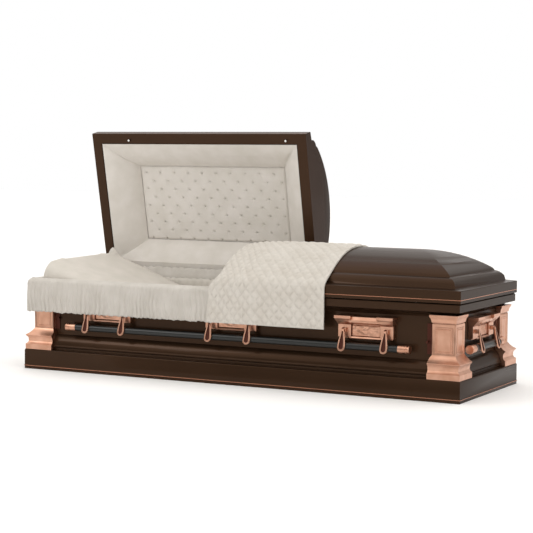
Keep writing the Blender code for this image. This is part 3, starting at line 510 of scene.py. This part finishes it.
BORDER_OUTER = 0.0574
BORDER_WIDTH = 0.130
HINGE_BORDER = 0.085
BORDER_DEPTH = 0.116
BORDER_LOW = LID_BOTTOM + 0.0024
BORDER_PUFF = -0.080
FLAP_ENDS = (0.0594, 0.0654)
FLAP_SECTION = [(0.2896, 0.4075), (0.2896, 0.3992), (0.3000, 0.3991), (0.3200, 0.3991), (0.3384, 0.3991)]

def crepe(name, light, dark, wrinkle, scale):
    """Woven polyester crepe: a fine crinkled weave, and soft creases of the given height and scale."""
    material, tree, coords, shader = new_material(name)
    weave = add(tree, "ShaderNodeTexNoise", {"Vector": coords, "Scale": 900.0, "Detail": 2.0, "Roughness": 0.7})
    crease = add(tree, "ShaderNodeTexNoise", {"Vector": coords, "Scale": scale, "Detail": 3.0, "Distortion": 0.6})
    cloud = add(tree, "ShaderNodeTexNoise", {"Vector": coords, "Scale": 14.0, "Detail": 2.0})
    colour = ramp(tree, cloud.outputs["Fac"], [(0.3, dark), (0.7, light)])
    soft = add(tree, "ShaderNodeBump", {"Height": crease.outputs["Fac"], "Strength": 0.35, "Distance": wrinkle})
    fine = add(
        tree,
        "ShaderNodeBump",
        {"Height": weave.outputs["Fac"], "Strength": 0.25, "Distance": 0.0003, "Normal": soft.outputs["Normal"]},
    )
    plug(tree, shader, Base_Color=colour, Roughness=0.9, Normal=fine.outputs["Normal"])
    plug(tree, shader, Sheen_Weight=0.10, Sheen_Roughness=0.5, Specular_IOR_Level=0.25)
    return material


def arc_between(start, end, bulge, steps):
    """Points of an arc from start to end, both included. Bulge is height over chord, to the left."""
    (x0, y0), (x1, y1) = start, end
    points = []
    for step in range(steps + 1):
        t = step / steps
        lift = 4 * bulge * t * (1 - t)
        points.append((x0 + (x1 - x0) * t - (y1 - y0) * lift, y0 + (y1 - y0) * t + (x1 - x0) * lift))
    return points


def border_corners(inset, outer, height, split, away):
    """Corners of the lining at this inset; the border is narrower along the hinges."""
    corners = footprint(inset, height, split + away * (inset - LID_INSET), away)
    back = HALF_WIDTH - outer - (inset - outer) * HINGE_BORDER / BORDER_WIDTH
    return [(x, back if y > 0 else y, z) for x, y, z in corners]


def border_grid(split, away, outer, inner, low, high, place):
    """The border's face as four mitred sides, puffed towards the hollow and softly creased."""
    across = arc_between((outer, low), (inner, high), BORDER_PUFF, 16)
    rows = []
    for t, (inset, height) in enumerate(across):
        corners = border_corners(inset, outer, height, split, away)
        row = []
        share = t / (len(across) - 1)
        for side in range(4):
            a = Vector(corners[side])
            b = Vector(corners[(side + 1) % 4])
            length = (b - a).length
            steps = 96 if side in (0, 2) else 56
            inward = Vector((-(b - a).normalized().y, (b - a).normalized().x, 0)) * (1 if away > 0 else -1)
            push = (inward + Vector((0, 0, -1))).normalized()
            for step in range(steps):
                along = step / steps
                mitre = min(along, 1 - along) * length
                fold = -0.006 * math.exp(-mitre / 0.010) * math.sin(math.pi * share)
                puff = 0.0016 * waver(5 * along * length, 4 * share, side * 5 + away)
                puff += 0.0012 * waver(30 * along * length + side, 3 * share, 4.0) * math.exp(-mitre / 0.08)
                row.append(place(a.lerp(b, along) + push * (fold + puff * math.sin(math.pi * share))))
        rows.append(row)
    return rows


def hinge_flap(name, split, away, place):
    """The border's lower hem, carried under the flange on the hinge side, with a little slack."""
    ends = sorted((split + away * FLAP_ENDS[0], away * (HALF_LENGTH - FLAP_ENDS[1])))
    rows = []
    for i in range(161):
        x = ends[0] + (ends[1] - ends[0]) * i / 160
        rows.append([place((x, y, z + 0.0003 * waver(20 * x, 60 * y, 2.0))) for y, z in FLAP_SECTION])
    return skin(name, rows, LIGHTENED_LID_CREPE, smooth=80.0), abs(ends[1] - ends[0])

# A lighter copy of the cream crepe for the lid linings: painted light.
LIGHTENED_LID_CREPE = crepe("lid_crepe_painted_light", "#e0dbd5", "#d7d2ca", 0.004, 30.0)
for lid, (split, away) in SPLITS.items():
    place = opened if lid == "head" else Vector
    inner = BORDER_OUTER + BORDER_WIDTH
    grid = border_grid(split, away, BORDER_OUTER, inner, BORDER_LOW, BORDER_LOW + BORDER_DEPTH, place)
    border = skin(f"{lid}_border_look", grid, LIGHTENED_LID_CREPE, loop=True, smooth=80.0)
    settle(border, f"{lid}_lid", [f"{lid}_lid_border"])
    flap, flap_length = hinge_flap(f"{lid}_flap_look", split, away, place)
    settle(flap, f"{lid}_lid")


# Cap panels: the same crepe over thin wadding on a board, inside each border. The head lid's is tufted
# in staggered rows: the cloth is drawn down at every stitch, small pleats run to it, and a thread knot
# holds it. The foot lid's, which is seldom seen, is left plain.

PANEL_INSET = 0.1800
PANEL_HEIGHT = BORDER_LOW + BORDER_DEPTH + 0.0005
TUFT_PITCH = (0.0780, 0.0410)
PANEL_GRID = (300, 170)
KNOT_RADIUS = 0.0019
KNOT_FLATTENING = 0.55

def tufted_panel(split, away, inset, outer, height, place, tufts):
    """The panel's face and the places of its tufts: dented at each stitch, with pleats running to it."""
    corners = border_corners(inset, outer, height, split, away)
    low_x, high_x = sorted((corners[0][0], corners[1][0]))
    low_y, high_y = corners[0][1], corners[2][1]
    pitch_x, pitch_y = TUFT_PITCH
    columns, lines = PANEL_GRID
    rows = []
    for i in range(columns + 1):
        x = low_x + (high_x - low_x) * i / columns
        row = []
        for j in range(lines + 1):
            y = low_y + (high_y - low_y) * j / lines
            edge = min(x - low_x, high_x - x, y - low_y, high_y - y)
            lift = 0.007 * min(1.0, max(0.0, edge - 0.006) / 0.010) - 0.003
            if tufts:
                line = round((y - low_y) / pitch_y)
                offset = pitch_x / 2 if line % 2 else 0.0
                column = round((x - low_x - offset) / pitch_x)
                dx = x - low_x - offset - column * pitch_x
                dy = y - low_y - line * pitch_y
                distance = math.hypot(dx, dy)
                lift -= 0.0065 * math.exp(-((distance / 0.0055) ** 2))
                pleats = math.cos(6 * math.atan2(dy, dx) + column + line)
                lift += 0.0016 * pleats * math.exp(-((distance / 0.015) ** 2))
            lift += 0.0009 * waver(24 * x, 24 * y, 1.0) + 0.0004 * waver(75 * x, 75 * y, 5.0)
            row.append(place((x, y, height - lift)))
        rows.append(row)
    stitches = []
    if tufts:
        for line in range(1, int((high_y - low_y) / pitch_y) + 1):
            offset = pitch_x / 2 if line % 2 else pitch_x
            for column in range(int((high_x - low_x - offset) / pitch_x) + 1):
                x = low_x + offset + column * pitch_x
                y = low_y + line * pitch_y
                if min(high_x - x, high_y - y, x - low_x) > 0.010:
                    stitches.append(place((x, y, height + 0.0006)))
    return rows, stitches


def knot_tree(material):
    """Geometry Nodes: a flattened thread knot on every point, facing the way that it is given."""
    tree = bpy.data.node_groups.new("tuft_knots", "GeometryNodeTree")
    face = tree.interface
    face.new_socket("Geometry", in_out="INPUT", socket_type="NodeSocketGeometry")
    sockets = (("Knot radius", "Float"), ("Flattening", "Float"), ("Facing", "Rotation"))
    for name, kind in sockets:
        face.new_socket(name, in_out="INPUT", socket_type="NodeSocket" + kind)
    face.new_socket("Geometry", in_out="OUTPUT", socket_type="NodeSocketGeometry")
    given = add(tree, "NodeGroupInput").outputs
    points = add(tree, "GeometryNodeMeshToPoints", {"Mesh": given["Geometry"]}).outputs[0]
    ball = add(tree, "GeometryNodeMeshUVSphere", {"Segments": 10, "Rings": 5, "Radius": given["Knot radius"]})
    scale = add(tree, "ShaderNodeCombineXYZ", {"X": 1.0, "Y": 1.0, "Z": given["Flattening"]})
    spin = add(tree, "FunctionNodeRandomValue", {"Seed": 7}, data_type="FLOAT")
    size = add(tree, "ShaderNodeVectorMath", {0: scale.outputs[0], "Scale": 1.0}, operation="SCALE")
    vary = add(tree, "ShaderNodeMapRange", {"Value": spin.outputs[1], "To Min": 0.85, "To Max": 1.15})
    tree.links.new(vary.outputs[0], size.inputs["Scale"])
    knots = add(
        tree,
        "GeometryNodeInstanceOnPoints",
        {"Points": points, "Instance": ball.outputs["Mesh"], "Rotation": given["Facing"], "Scale": size.outputs[0]},
    )
    real = add(tree, "GeometryNodeRealizeInstances", {"Geometry": knots.outputs[0]})
    finish = add(tree, "GeometryNodeSetMaterial", {"Geometry": real.outputs[0], "Material": material})
    smooth = add(tree, "GeometryNodeSetShadeSmooth", {"Geometry": finish.outputs[0]})
    add(tree, "NodeGroupOutput", {"Geometry": smooth.outputs[0]})
    return tree


def tuft_knots(name, places, turn, material):
    """The stitched knot at the bottom of each tuft, as one plain mesh."""
    seed = bpy.data.meshes.new(name + "_places")
    seed.from_pydata(places, [], [])
    carrier = bpy.data.objects.new(name + "_carrier", seed)
    bpy.context.scene.collection.objects.link(carrier)
    tree = knot_tree(material)
    nodes = carrier.modifiers.new("knots", "NODES")
    nodes.node_group = tree
    sizes = {"Knot radius": KNOT_RADIUS, "Flattening": KNOT_FLATTENING, "Facing": turn}
    for item in tree.interface.items_tree:
        if item.name in sizes:
            nodes[item.identifier] = sizes[item.name]
    settled = carrier.evaluated_get(bpy.context.evaluated_depsgraph_get())
    mesh = bpy.data.meshes.new_from_object(settled)
    bpy.data.objects.remove(carrier)
    knots = bpy.data.objects.new(name, mesh)
    bpy.context.scene.collection.objects.link(knots)
    return knots

TUFT_THREAD = crepe("tuft_thread", "#a39c90", "#958e82", 0.001, 200.0)
for lid, (split, away) in SPLITS.items():
    place = opened if lid == "head" else Vector
    grid, stitches = tufted_panel(split, away, PANEL_INSET, BORDER_OUTER, PANEL_HEIGHT, place, lid == "head")
    panel = skin(f"{lid}_panel_look", grid, LIGHTENED_LID_CREPE, smooth=80.0)
    settle(panel, f"{lid}_lid", [f"{lid}_lid_panel"])
    if stitches:
        knots = tuft_knots("head_panel_tufts", stitches, (-LID_OPEN, 0.0, 0.0), TUFT_THREAD)
        settle(knots, "head_lid")


# Wall lining: crepe shirred on a tape and hung from the rail round the inside of the walls. It falls in
# narrow upright folds, rounds over the rail at the top and is tucked in beside the mattress below.

LINING_LOW = 0.200
LINING_DROP = 0.198
LINING_INSET = 0.069
LINING_CLOTH = 0.0012
LINING_ROWS = 14

def thick(obj, depth, offset=-1.0):
    """Gives a cloth face its thickness."""
    solid = obj.modifiers.new("cloth", "SOLIDIFY")
    solid.thickness = depth
    solid.offset = offset
    return obj


def wall_lining():
    """Shirred cloth round the inside of the walls, hung from the rail."""
    rows = []
    for height in [LINING_LOW + LINING_DROP * k / LINING_ROWS for k in range(LINING_ROWS + 1)]:
        share = (height - LINING_LOW) / LINING_DROP
        round_in = 0.007 * max(0.0, share - 0.93) / 0.07
        tuck_in = 0.014 * min(1.0, max(0.0, 0.247 - height) / 0.040)
        corners = footprint(LINING_INSET - round_in + tuck_in, height)
        row = []
        for side in range(4):
            a = Vector(corners[side])
            b = Vector(corners[(side + 1) % 4])
            out = Vector(((b - a).normalized().y, -(b - a).normalized().x, 0))
            steps = 400 if side in (0, 2) else 130
            for step in range(steps):
                along = step / steps
                run = along * (b - a).length + 10 * side
                fold = 0.0035 * math.sin(170 * run + 3 * waver(9 * run, 2 * share, side))
                fold *= 0.6 + 0.4 * waver(5 * run, 3 * share, 8.0)
                row.append(a.lerp(b, along) + out * fold * min(1.0, 20 * min(along, 1 - along)))
        rows.append(row)
    return skin("wall_lining_look", rows, CREPE, loop=True, smooth=80.0)

CREPE = crepe("cream_crepe", "#d2ccc4", "#c9c4bb", 0.004, 30.0)
lining = wall_lining()
settle(thick(lining, LINING_CLOTH), "shell", ["wall_lining"])


# Bed: a stuffed mattress on its frame, level at the foot and raised towards the head, and on it a loose
# pillow in a crepe slip that slopes down from the head and stands up in a soft ear at its far corner.

MATTRESS = (-0.968, 0.968, 0.274)
MATTRESS_LOW = 0.0018
MATTRESS_TOP = 0.235
MATTRESS_RISE = 0.105
MATTRESS_BEND = -0.350
MATTRESS_HEAD = 1.0088
PILLOW = (-1.010, -0.470, 0.290)
PILLOW_TOP = 0.506
PILLOW_SLOPE = 0.370

def bed_height(x):
    """The mattress's top, level towards the foot and raised towards the head."""
    share = max(0.0, (MATTRESS_BEND - x) / (MATTRESS_HEAD + MATTRESS_BEND))
    return MATTRESS_TOP + MATTRESS_RISE * share


def stuffed(name, span, bottom, top, corner, columns=120, around=96, eared=False):
    """A stuffed piece: rounded sections across the bed, drawn in at both ends and softly creased."""
    x_low, x_high, half = span
    rows = []
    for i in range(columns + 1):
        share = i / columns
        ease = 0.5 - 0.5 * math.cos(math.pi * share)
        x = x_low + (x_high - x_low) * ease
        end = min(x - x_low, x_high - x)
        pull = math.sqrt(max(0.0, 1 - (1 - min(1.0, end / corner)) ** 2))
        low = bottom(x)
        high = top(x)
        middle = low + 0.42 * (high - low)
        row = []
        for j in range(around):
            angle = math.tau * j / around
            cosine, sine = math.cos(angle), math.sin(angle)
            power = 0.28
            y = half * math.copysign(abs(cosine) ** power, cosine)
            reach = (high - middle) if sine > 0 else (middle - low)
            z = middle + reach * math.copysign(abs(sine) ** 0.62, sine) * pull
            y *= 1 - 0.06 * (1 - pull)
            if eared:
                y *= min(1.0, max(0.945, 0.945 + 0.055 * (z - 0.36) / 0.05))
            edge = 1 - abs(y) / half
            if sine > 0:
                z -= 0.006 * math.exp(-end / 0.05) * abs(math.sin(38 * y + 2 * waver(6 * y, x, 2.0)))
                z += 0.0045 * waver(5.5 * x, 7 * y, 3.3) * min(1.0, 4 * edge + 0.2)
                z += 0.0018 * waver(17 * x + 4 * y, 11 * y, 6.1)
                if eared:
                    z += 0.024 * max(0.0, y / half) * min(1.0, end / 0.05)
                    z += 0.056 * math.exp(-(((x + 0.998) / 0.042) ** 2) - ((y - 0.280) / 0.030) ** 2)
            row.append((x, y, z))
        rows.append(row)
    return skin(name, rows, CREPE, loop=True, caps=True, smooth=80.0)

mattress = stuffed("mattress_look", MATTRESS, lambda x: MATTRESS_LOW, bed_height, 0.03, 160, 72)
settle(mattress, "shell", ["mattress"])
pillow = stuffed(
    "pillow_look",
    PILLOW,
    lambda x: bed_height(x) + 0.0014,
    lambda x: PILLOW_TOP - PILLOW_SLOPE * (x + 1.0),
    0.030,
    eared=True,
)
settle(pillow, "shell", ["pillow"])
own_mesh(pillow)


# Extendover: a band of crepe gathered on a tape. It lies over the rail round the head half and hangs
# outside it in close, uneven folds with a wavy hem, and along the hinges it is rolled up on the rail.

RAIL_TOP = 0.3978
SKIRT_START = -0.0640
SKIRT_BACK = 0.304
SKIRT_CORNER = 0.026
SKIRT_CLOTH = 0.0016
HANG_FOLDS = 18
ROLL_ENDS = (-1.046, 0.086)

def skirt_path():
    """Points round the rail in plan with outward normals: along the front, round the head, to the hinge."""
    path = []
    end = SKIRT_CORNER - HALF_LENGTH
    low = SKIRT_CORNER - HALF_WIDTH
    steps = 620
    for i in range(steps):
        path.append((SKIRT_START + (end - SKIRT_START) * i / steps, -HALF_WIDTH, 0.0, -1.0))
    for i in range(12):
        angle = math.pi / 2 * i / 12
        x = end - SKIRT_CORNER * math.sin(angle)
        y = low - SKIRT_CORNER * math.cos(angle)
        path.append((x, y, -math.sin(angle), -math.cos(angle)))
    for i in range(421):
        path.append((-HALF_LENGTH, low + (SKIRT_BACK - low) * i / 420, -1.0, 0.0))
    return path


def gathered_rows():
    """The skirt's section, from the rail's inner edge to the hem, gathered along its path."""
    section = [(0.0600, RAIL_TOP), (0.0590, 0.4080)]
    section += arc_between((0.0590, 0.4080), (0.0040, 0.4030), -0.22, 12)[1:]
    hang = [k / HANG_FOLDS for k in range(1, HANG_FOLDS + 1)]
    section += [(0.0040 - 0.0012 * t, 0.4030 - 0.137 * t) for t in hang]
    rows = []
    path = skirt_path()
    run = 0.0
    last = path[0]
    for x, y, nx, ny in path:
        run += math.hypot(x - last[0], y - last[1])
        last = (x, y)
        phase = 215 * run + 9.0 * waver(5.0 * run, 0.3, 0.0)
        calm = min(1.0, max(0.0, (-0.095 - x) / 0.030))
        strength = calm * (0.70 + 1.1 * abs(waver(4.0 * run, 7.0, 0.0)))
        at_head = min(1.0, max(0.0, -nx)) * min(1.0, max(0.0, (abs(y) - 0.15) / 0.04))
        row = []
        for inset, height in section:
            down = max(0.0, (0.418 - height) / 0.152)
            over = min(1.0, max(0.0, (0.045 - inset) / 0.03))
            drift = 3.4 * waver(3.5 * run, 2.5 * down, 2.0)
            fold = math.sin(phase + drift) + 0.45 * math.sin(2.3 * phase + 1.3 + 2 * drift)
            depth = strength * (0.0014 + 0.0030 * down) * (fold + 0.8) * over
            sway = 0.0030 * waver(9 * run, 3 * down, 5.0) * down * calm
            tuck = 0.006 * at_head * min(1.0, over + down)
            out = -inset + depth + sway - tuck
            hem = 0.0050 * waver(22 * run, 0.0, 9.0) + 0.0022 * fold
            z = height + hem * max(0.0, down - 0.5) * 1.6
            row.append((x + nx * out, y + ny * out, z))
        rows.append(row)
    return rows


def roll_rows():
    """The roll along the hinges: a soft lobe on the rail, with shallow gathers."""
    rows = []
    for i in range(401):
        x = ROLL_ENDS[0] + (ROLL_ENDS[1] - ROLL_ENDS[0]) * i / 400
        section = [(0.0180, RAIL_TOP), (0.0640, RAIL_TOP), (0.0620, 0.4080)]
        section += arc_between((0.0620, 0.4080), (0.0176, 0.3990), -0.88, 20)[1:]
        row = []
        for inset, height in section:
            rise = max(0.0, height - 0.400)
            fold = 0.06 * math.sin(150 * x + 4 * waver(7 * x, 0.0, 3.0)) + 0.08 * waver(14 * x, 60 * inset, 1.0)
            row.append((x, HALF_WIDTH - inset, height + rise * fold))
        rows.append(row)
    return rows

# A darker copy of the cream crepe for the extendover and its roll: painted shade.
DARKENED_SKIRT_CREPE = crepe("skirt_crepe_painted_shade", "#c6c1ba", "#bcb7af", 0.004, 30.0)
skirt = skin("extendover_look", gathered_rows(), DARKENED_SKIRT_CREPE, smooth=80.0)
settle(thick(skirt, SKIRT_CLOTH), "shell", ["extendover"])
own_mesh(skirt)
roll = skin("extendover_roll_look", roll_rows(), DARKENED_SKIRT_CREPE, loop=True, caps=True, smooth=80.0)
settle(roll, "shell")
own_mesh(roll)


# Throw: a cover of two layers of crepe over wadding, machine-quilted in diamonds. It lies over the foot
# lid's cut end and hangs down the front, padded enough to bridge the lid's mouldings, with its free end
# turned under in a soft roll.

QUILT_PITCH = 0.046
QUILT_SLANT = 0.9
THROW_FOLD_X = -0.1314
THROW_END_X = 0.460
THROW_BACK = 0.200
THROW_HEM = 0.2660
THROW_FACE = -0.3478
CUT_END = 0.094
DRAWN_BACK = ((0.0, 0.030), (0.14, 0.040), (0.21, 0.066), (9.0, 0.062))

def lid_outline():
    """(Y, height) over the shut foot lid from its front band to the crown, just clear of the sheet."""
    points = [(-0.3440, 0.4525), (-0.3050, 0.4575), (-0.3000, 0.4770)]
    points += arc_between((-0.3000, 0.4770), (-0.2670, 0.5004), 0.10, 4)[1:]
    points += [(-0.2650, 0.5054), (-0.2570, 0.5136)]
    foot = -0.2570
    radius = (0.2570**2 + 0.0814**2) / (2 * 0.0814)
    for k in range(1, 15):
        y = foot * (1 - k / 14)
        points.append((y, 0.595 - (radius - math.sqrt(radius**2 - y * y))))
    return points


def even_points(line, count):
    """A line of (Y, height) cut into even steps, with its length."""
    lengths = [0.0]
    for a, b in zip(line, line[1:]):
        lengths.append(lengths[-1] + math.hypot(b[0] - a[0], b[1] - a[1]))
    points = []
    place = 0
    for k in range(count + 1):
        target = lengths[-1] * k / count
        while place < len(line) - 2 and lengths[place + 1] < target:
            place += 1
        t = (target - lengths[place]) / max(lengths[place + 1] - lengths[place], 1e-9)
        a, b = line[place], line[place + 1]
        points.append((a[0] + (b[0] - a[0]) * t, a[1] + (b[1] - a[1]) * t))
    return points, lengths[-1]


def bridged(points):
    """The outline as padded cloth lies on it, straight over every hollow."""
    line = []
    for y, z in points:
        while len(line) > 1:
            (y0, z0), (y1, z1) = line[-2:]
            if (y1 - y0) * (z - z0) - (z1 - z0) * (y - y0) < 0:
                break
            line.pop()
        line.append((y, z))
    return line


def softened(line, rounds):
    """A line with its corners relaxed, as padded cloth bridges them."""
    for _ in range(rounds):
        threes = zip(line, line[1:], line[2:])
        middle = [((a[0] + 2 * b[0] + c[0]) / 4, (a[1] + 2 * b[1] + c[1]) / 4) for a, b, c in threes]
        line = [line[0]] + middle + [line[-1]]
    return line


def quilt(u, v):
    """Height of the quilting between its stitched diagonals, from 0 to 1."""
    a = abs(math.sin(math.pi * (u + QUILT_SLANT * v) / QUILT_PITCH))
    b = abs(math.sin(math.pi * (u - QUILT_SLANT * v) / QUILT_PITCH))
    return (a * b) ** 0.55


def drawn_back(v):
    """How far the folded end is drawn towards the foot, at a place along the cover from its front hem."""
    for (v0, x0), (v1, x1) in zip(DRAWN_BACK, DRAWN_BACK[1:]):
        if v <= v1:
            t = (v - v0) / (v1 - v0)
            return x0 + (x1 - x0) * t * t * (3 - 2 * t)
    return 0.0


def throw():
    """The cover as outer and inner rows, from its rolled end to its plain end."""
    over = lid_outline()
    front = [(THROW_FACE, THROW_HEM), (THROW_FACE, over[0][1])]
    back = [(-y, z) for y, z in reversed(over[:-1]) if -y <= THROW_BACK]
    line, length = even_points(bridged([*front, *over[1:], *back]), 200)
    line = softened(line, 30)
    reach = THROW_END_X - THROW_FOLD_X
    columns = 190
    rows = []
    for i in range(columns + 1):
        x = THROW_FOLD_X + reach * i / columns
        lip = max(0.0, 1 - (x - THROW_FOLD_X) / 0.030)
        free = min(1.0, max(0.0, (CUT_END - x) / 0.05))
        round_out = math.sqrt(max(0.0, 1 - lip * lip))
        row_out, row_in = [], []
        for k, (y, z) in enumerate(line):
            y0, z0 = line[max(k - 1, 0)]
            y1, z1 = line[min(k + 1, len(line) - 1)]
            span = math.hypot(y1 - y0, z1 - z0)
            ny, nz = -(z1 - z0) / span, (y1 - y0) / span
            v = length * k / (len(line) - 1)
            edge = min(v, length - v, THROW_END_X - x)
            hem = min(1.0, 0.35 + edge / 0.02)
            over_rail = min(1.0, max(0.0, (z - 0.430) / 0.05))
            lift = 0.0055 + 0.0082 * hem * quilt(x, v) ** 0.9 + 0.0022 * waver(8 * x, 8 * v, 0.5)
            sag = 0.020 * free * over_rail
            far = min(1.0, max(0.0, (CUT_END - x) / 0.225))
            skew = far * drawn_back(v)
            droop = 0.010 * far**1.7 * over_rail
            out = lift * (0.4 + 0.6 * round_out) - 0.006 * lip * over_rail
            inn = -sag * round_out + 0.0008
            wave = 0.0030 * waver(11 * x, 3.0, 1.0) * max(0.0, 1 - v / 0.08)
            row_out.append((x + skew, y + ny * (out + wave), z + nz * (out + wave) - droop))
            under = min(inn, out - 0.002)
            row_in.append((x + skew, y + ny * under, z + nz * under - droop))
        rows.append(row_out + row_in[::-1])
    return skin("throw_look", rows, QUILTED, loop=True, caps=True, smooth=80.0)

QUILTED = crepe("cream_quilting", "#cec9c1", "#c6c0b7", 0.0015, 70.0)
cover = throw()
settle(cover, "foot_lid", ["throw"])
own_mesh(cover)


# Studio: a plain pale floor under a broad soft light, as for a catalogue picture. The dome is white
# behind the casket, dimmer in front of it, and brighter and a little warmer overhead. Two soft lamps
# model the cloth.

FRONT_LIGHT = 0.25
SKY_LIGHT = 1.45
FLOOR_REACH = 30.0

def studio():
    """A white sweep under a broad soft light, as for a catalogue cut-out."""
    scene = bpy.context.scene
    mesh = bpy.data.meshes.new("floor")
    reach = FLOOR_REACH
    corners = [(-reach, -reach, 0), (reach, -reach, 0), (reach, reach, 0), (-reach, reach, 0)]
    mesh.from_pydata(corners, [], [(0, 1, 2, 3)])
    material, tree, coords, shader = new_material("studio_floor")
    shade = add(tree, "ShaderNodeTexNoise", {"Vector": coords, "Scale": 0.4})
    colour = ramp(tree, shade.outputs["Fac"], [(0.0, "#f7f7f7"), (1.0, "#fafafa")])
    plug(tree, shader, Base_Color=colour, Roughness=0.9)
    floor = link_object("floor", mesh, material)
    world = bpy.data.worlds.new("studio")
    world.use_nodes = True
    tree = world.node_tree
    way = add(tree, "ShaderNodeSeparateXYZ", {"Vector": add(tree, "ShaderNodeTexCoord").outputs["Generated"]})
    across = add(tree, "ShaderNodeMath", {0: way.outputs["X"], 1: -0.46}, operation="MULTIPLY")
    along = {0: way.outputs["Y"], 1: 0.88, 2: across.outputs[0]}
    facing = add(tree, "ShaderNodeMath", along, operation="MULTIPLY_ADD")
    front = add(tree, "ShaderNodeMapRange", {"Value": facing.outputs[0], "From Min": 0.90, "From Max": 0.70})
    low = add(tree, "ShaderNodeMapRange", {"Value": way.outputs["Z"], "From Min": 0.75, "From Max": 0.25})
    turned = {"Value": way.outputs["X"], "From Min": 0.35, "From Max": 0.05, "To Min": 0.4}
    side = add(tree, "ShaderNodeMapRange", turned)
    near = add(tree, "ShaderNodeMath", {0: front.outputs[0], 1: side.outputs[0]}, operation="MULTIPLY")
    dim = add(tree, "ShaderNodeMath", {0: near.outputs[0], 1: low.outputs[0]}, operation="MULTIPLY")
    level = add(tree, "ShaderNodeMapRange", {"Value": dim.outputs[0], "To Min": 1.0, "To Max": FRONT_LIGHT})
    overhead = {"Value": way.outputs["Z"], "From Min": 0.25, "From Max": 0.55}
    overhead |= {"To Min": 1.0, "To Max": SKY_LIGHT}
    sky = add(tree, "ShaderNodeMapRange", overhead)
    whole = add(tree, "ShaderNodeMath", {0: level.outputs[0], 1: sky.outputs[0]}, operation="MULTIPLY")
    tree.links.new(whole.outputs[0], tree.nodes["Background"].inputs["Strength"])
    high = add(tree, "ShaderNodeMapRange", {"Value": way.outputs["Z"], "From Min": 0.15, "From Max": 0.35})
    warm = add(tree, "ShaderNodeMath", {0: front.outputs[0], 1: high.outputs[0]}, operation="MAXIMUM")
    tint = add(
        tree,
        "ShaderNodeMix",
        {"Factor": warm.outputs[0], "A": linear("#ffffff"), "B": linear("#fffcf8")},
        data_type="RGBA",
    )
    tree.links.new(tint.outputs["Result"], tree.nodes["Background"].inputs["Color"])
    scene.world = world
    for name, place, target, size, power in (
        ("key", (-3.2, -3.6, 3.0), (0, 0, 0.3), 1.4, 30.0),
        ("fill", (4.4, -2.2, 1.6), (0.3, 0, 0.3), 1.2, 14.0),
    ):
        light = bpy.data.lights.new(name, "AREA")
        light.shape = "SQUARE"
        light.size = size
        light.energy = power
        lamp = bpy.data.objects.new(name, light)
        lamp.location = place
        lamp.rotation_euler = (Vector(target) - Vector(place)).to_track_quat("-Z", "Y").to_euler()
        scene.collection.objects.link(lamp)
    scene.view_settings.view_transform = "Standard"

studio()


# Camera: where the photograph was taken from, solved from the casket's long edges. It stands off the
# foot end and looks slightly down.

AZIMUTH = math.radians(27.5888)
PITCH = math.radians(3.867)
ROLL = math.radians(0.523)
FOCAL_PIXELS = 1603.51
FRAME_PIXELS = 533
SENSOR = 36.0
CAMERA_PLACE = (3.3167, -6.3358, 0.9743)

def photograph_camera():
    """The camera that the photograph's edges were solved for."""
    level = math.cos(PITCH)
    forward = Vector((-math.sin(AZIMUTH) * level, math.cos(AZIMUTH) * level, -math.sin(PITCH)))
    right = Vector((math.cos(AZIMUTH), math.sin(AZIMUTH), 0.0))
    up = right.cross(forward)
    right_rolled = math.cos(ROLL) * right + math.sin(ROLL) * up
    up_rolled = -math.sin(ROLL) * right + math.cos(ROLL) * up
    data = bpy.data.cameras.new("camera")
    data.sensor_width = SENSOR
    data.lens = FOCAL_PIXELS / FRAME_PIXELS * SENSOR
    camera = bpy.data.objects.new("camera", data)
    axes = Matrix((right_rolled, up_rolled, -forward)).transposed().to_4x4()
    camera.matrix_world = Matrix.Translation(CAMERA_PLACE) @ axes
    bpy.context.scene.collection.objects.link(camera)
    bpy.context.scene.camera = camera

photograph_camera()
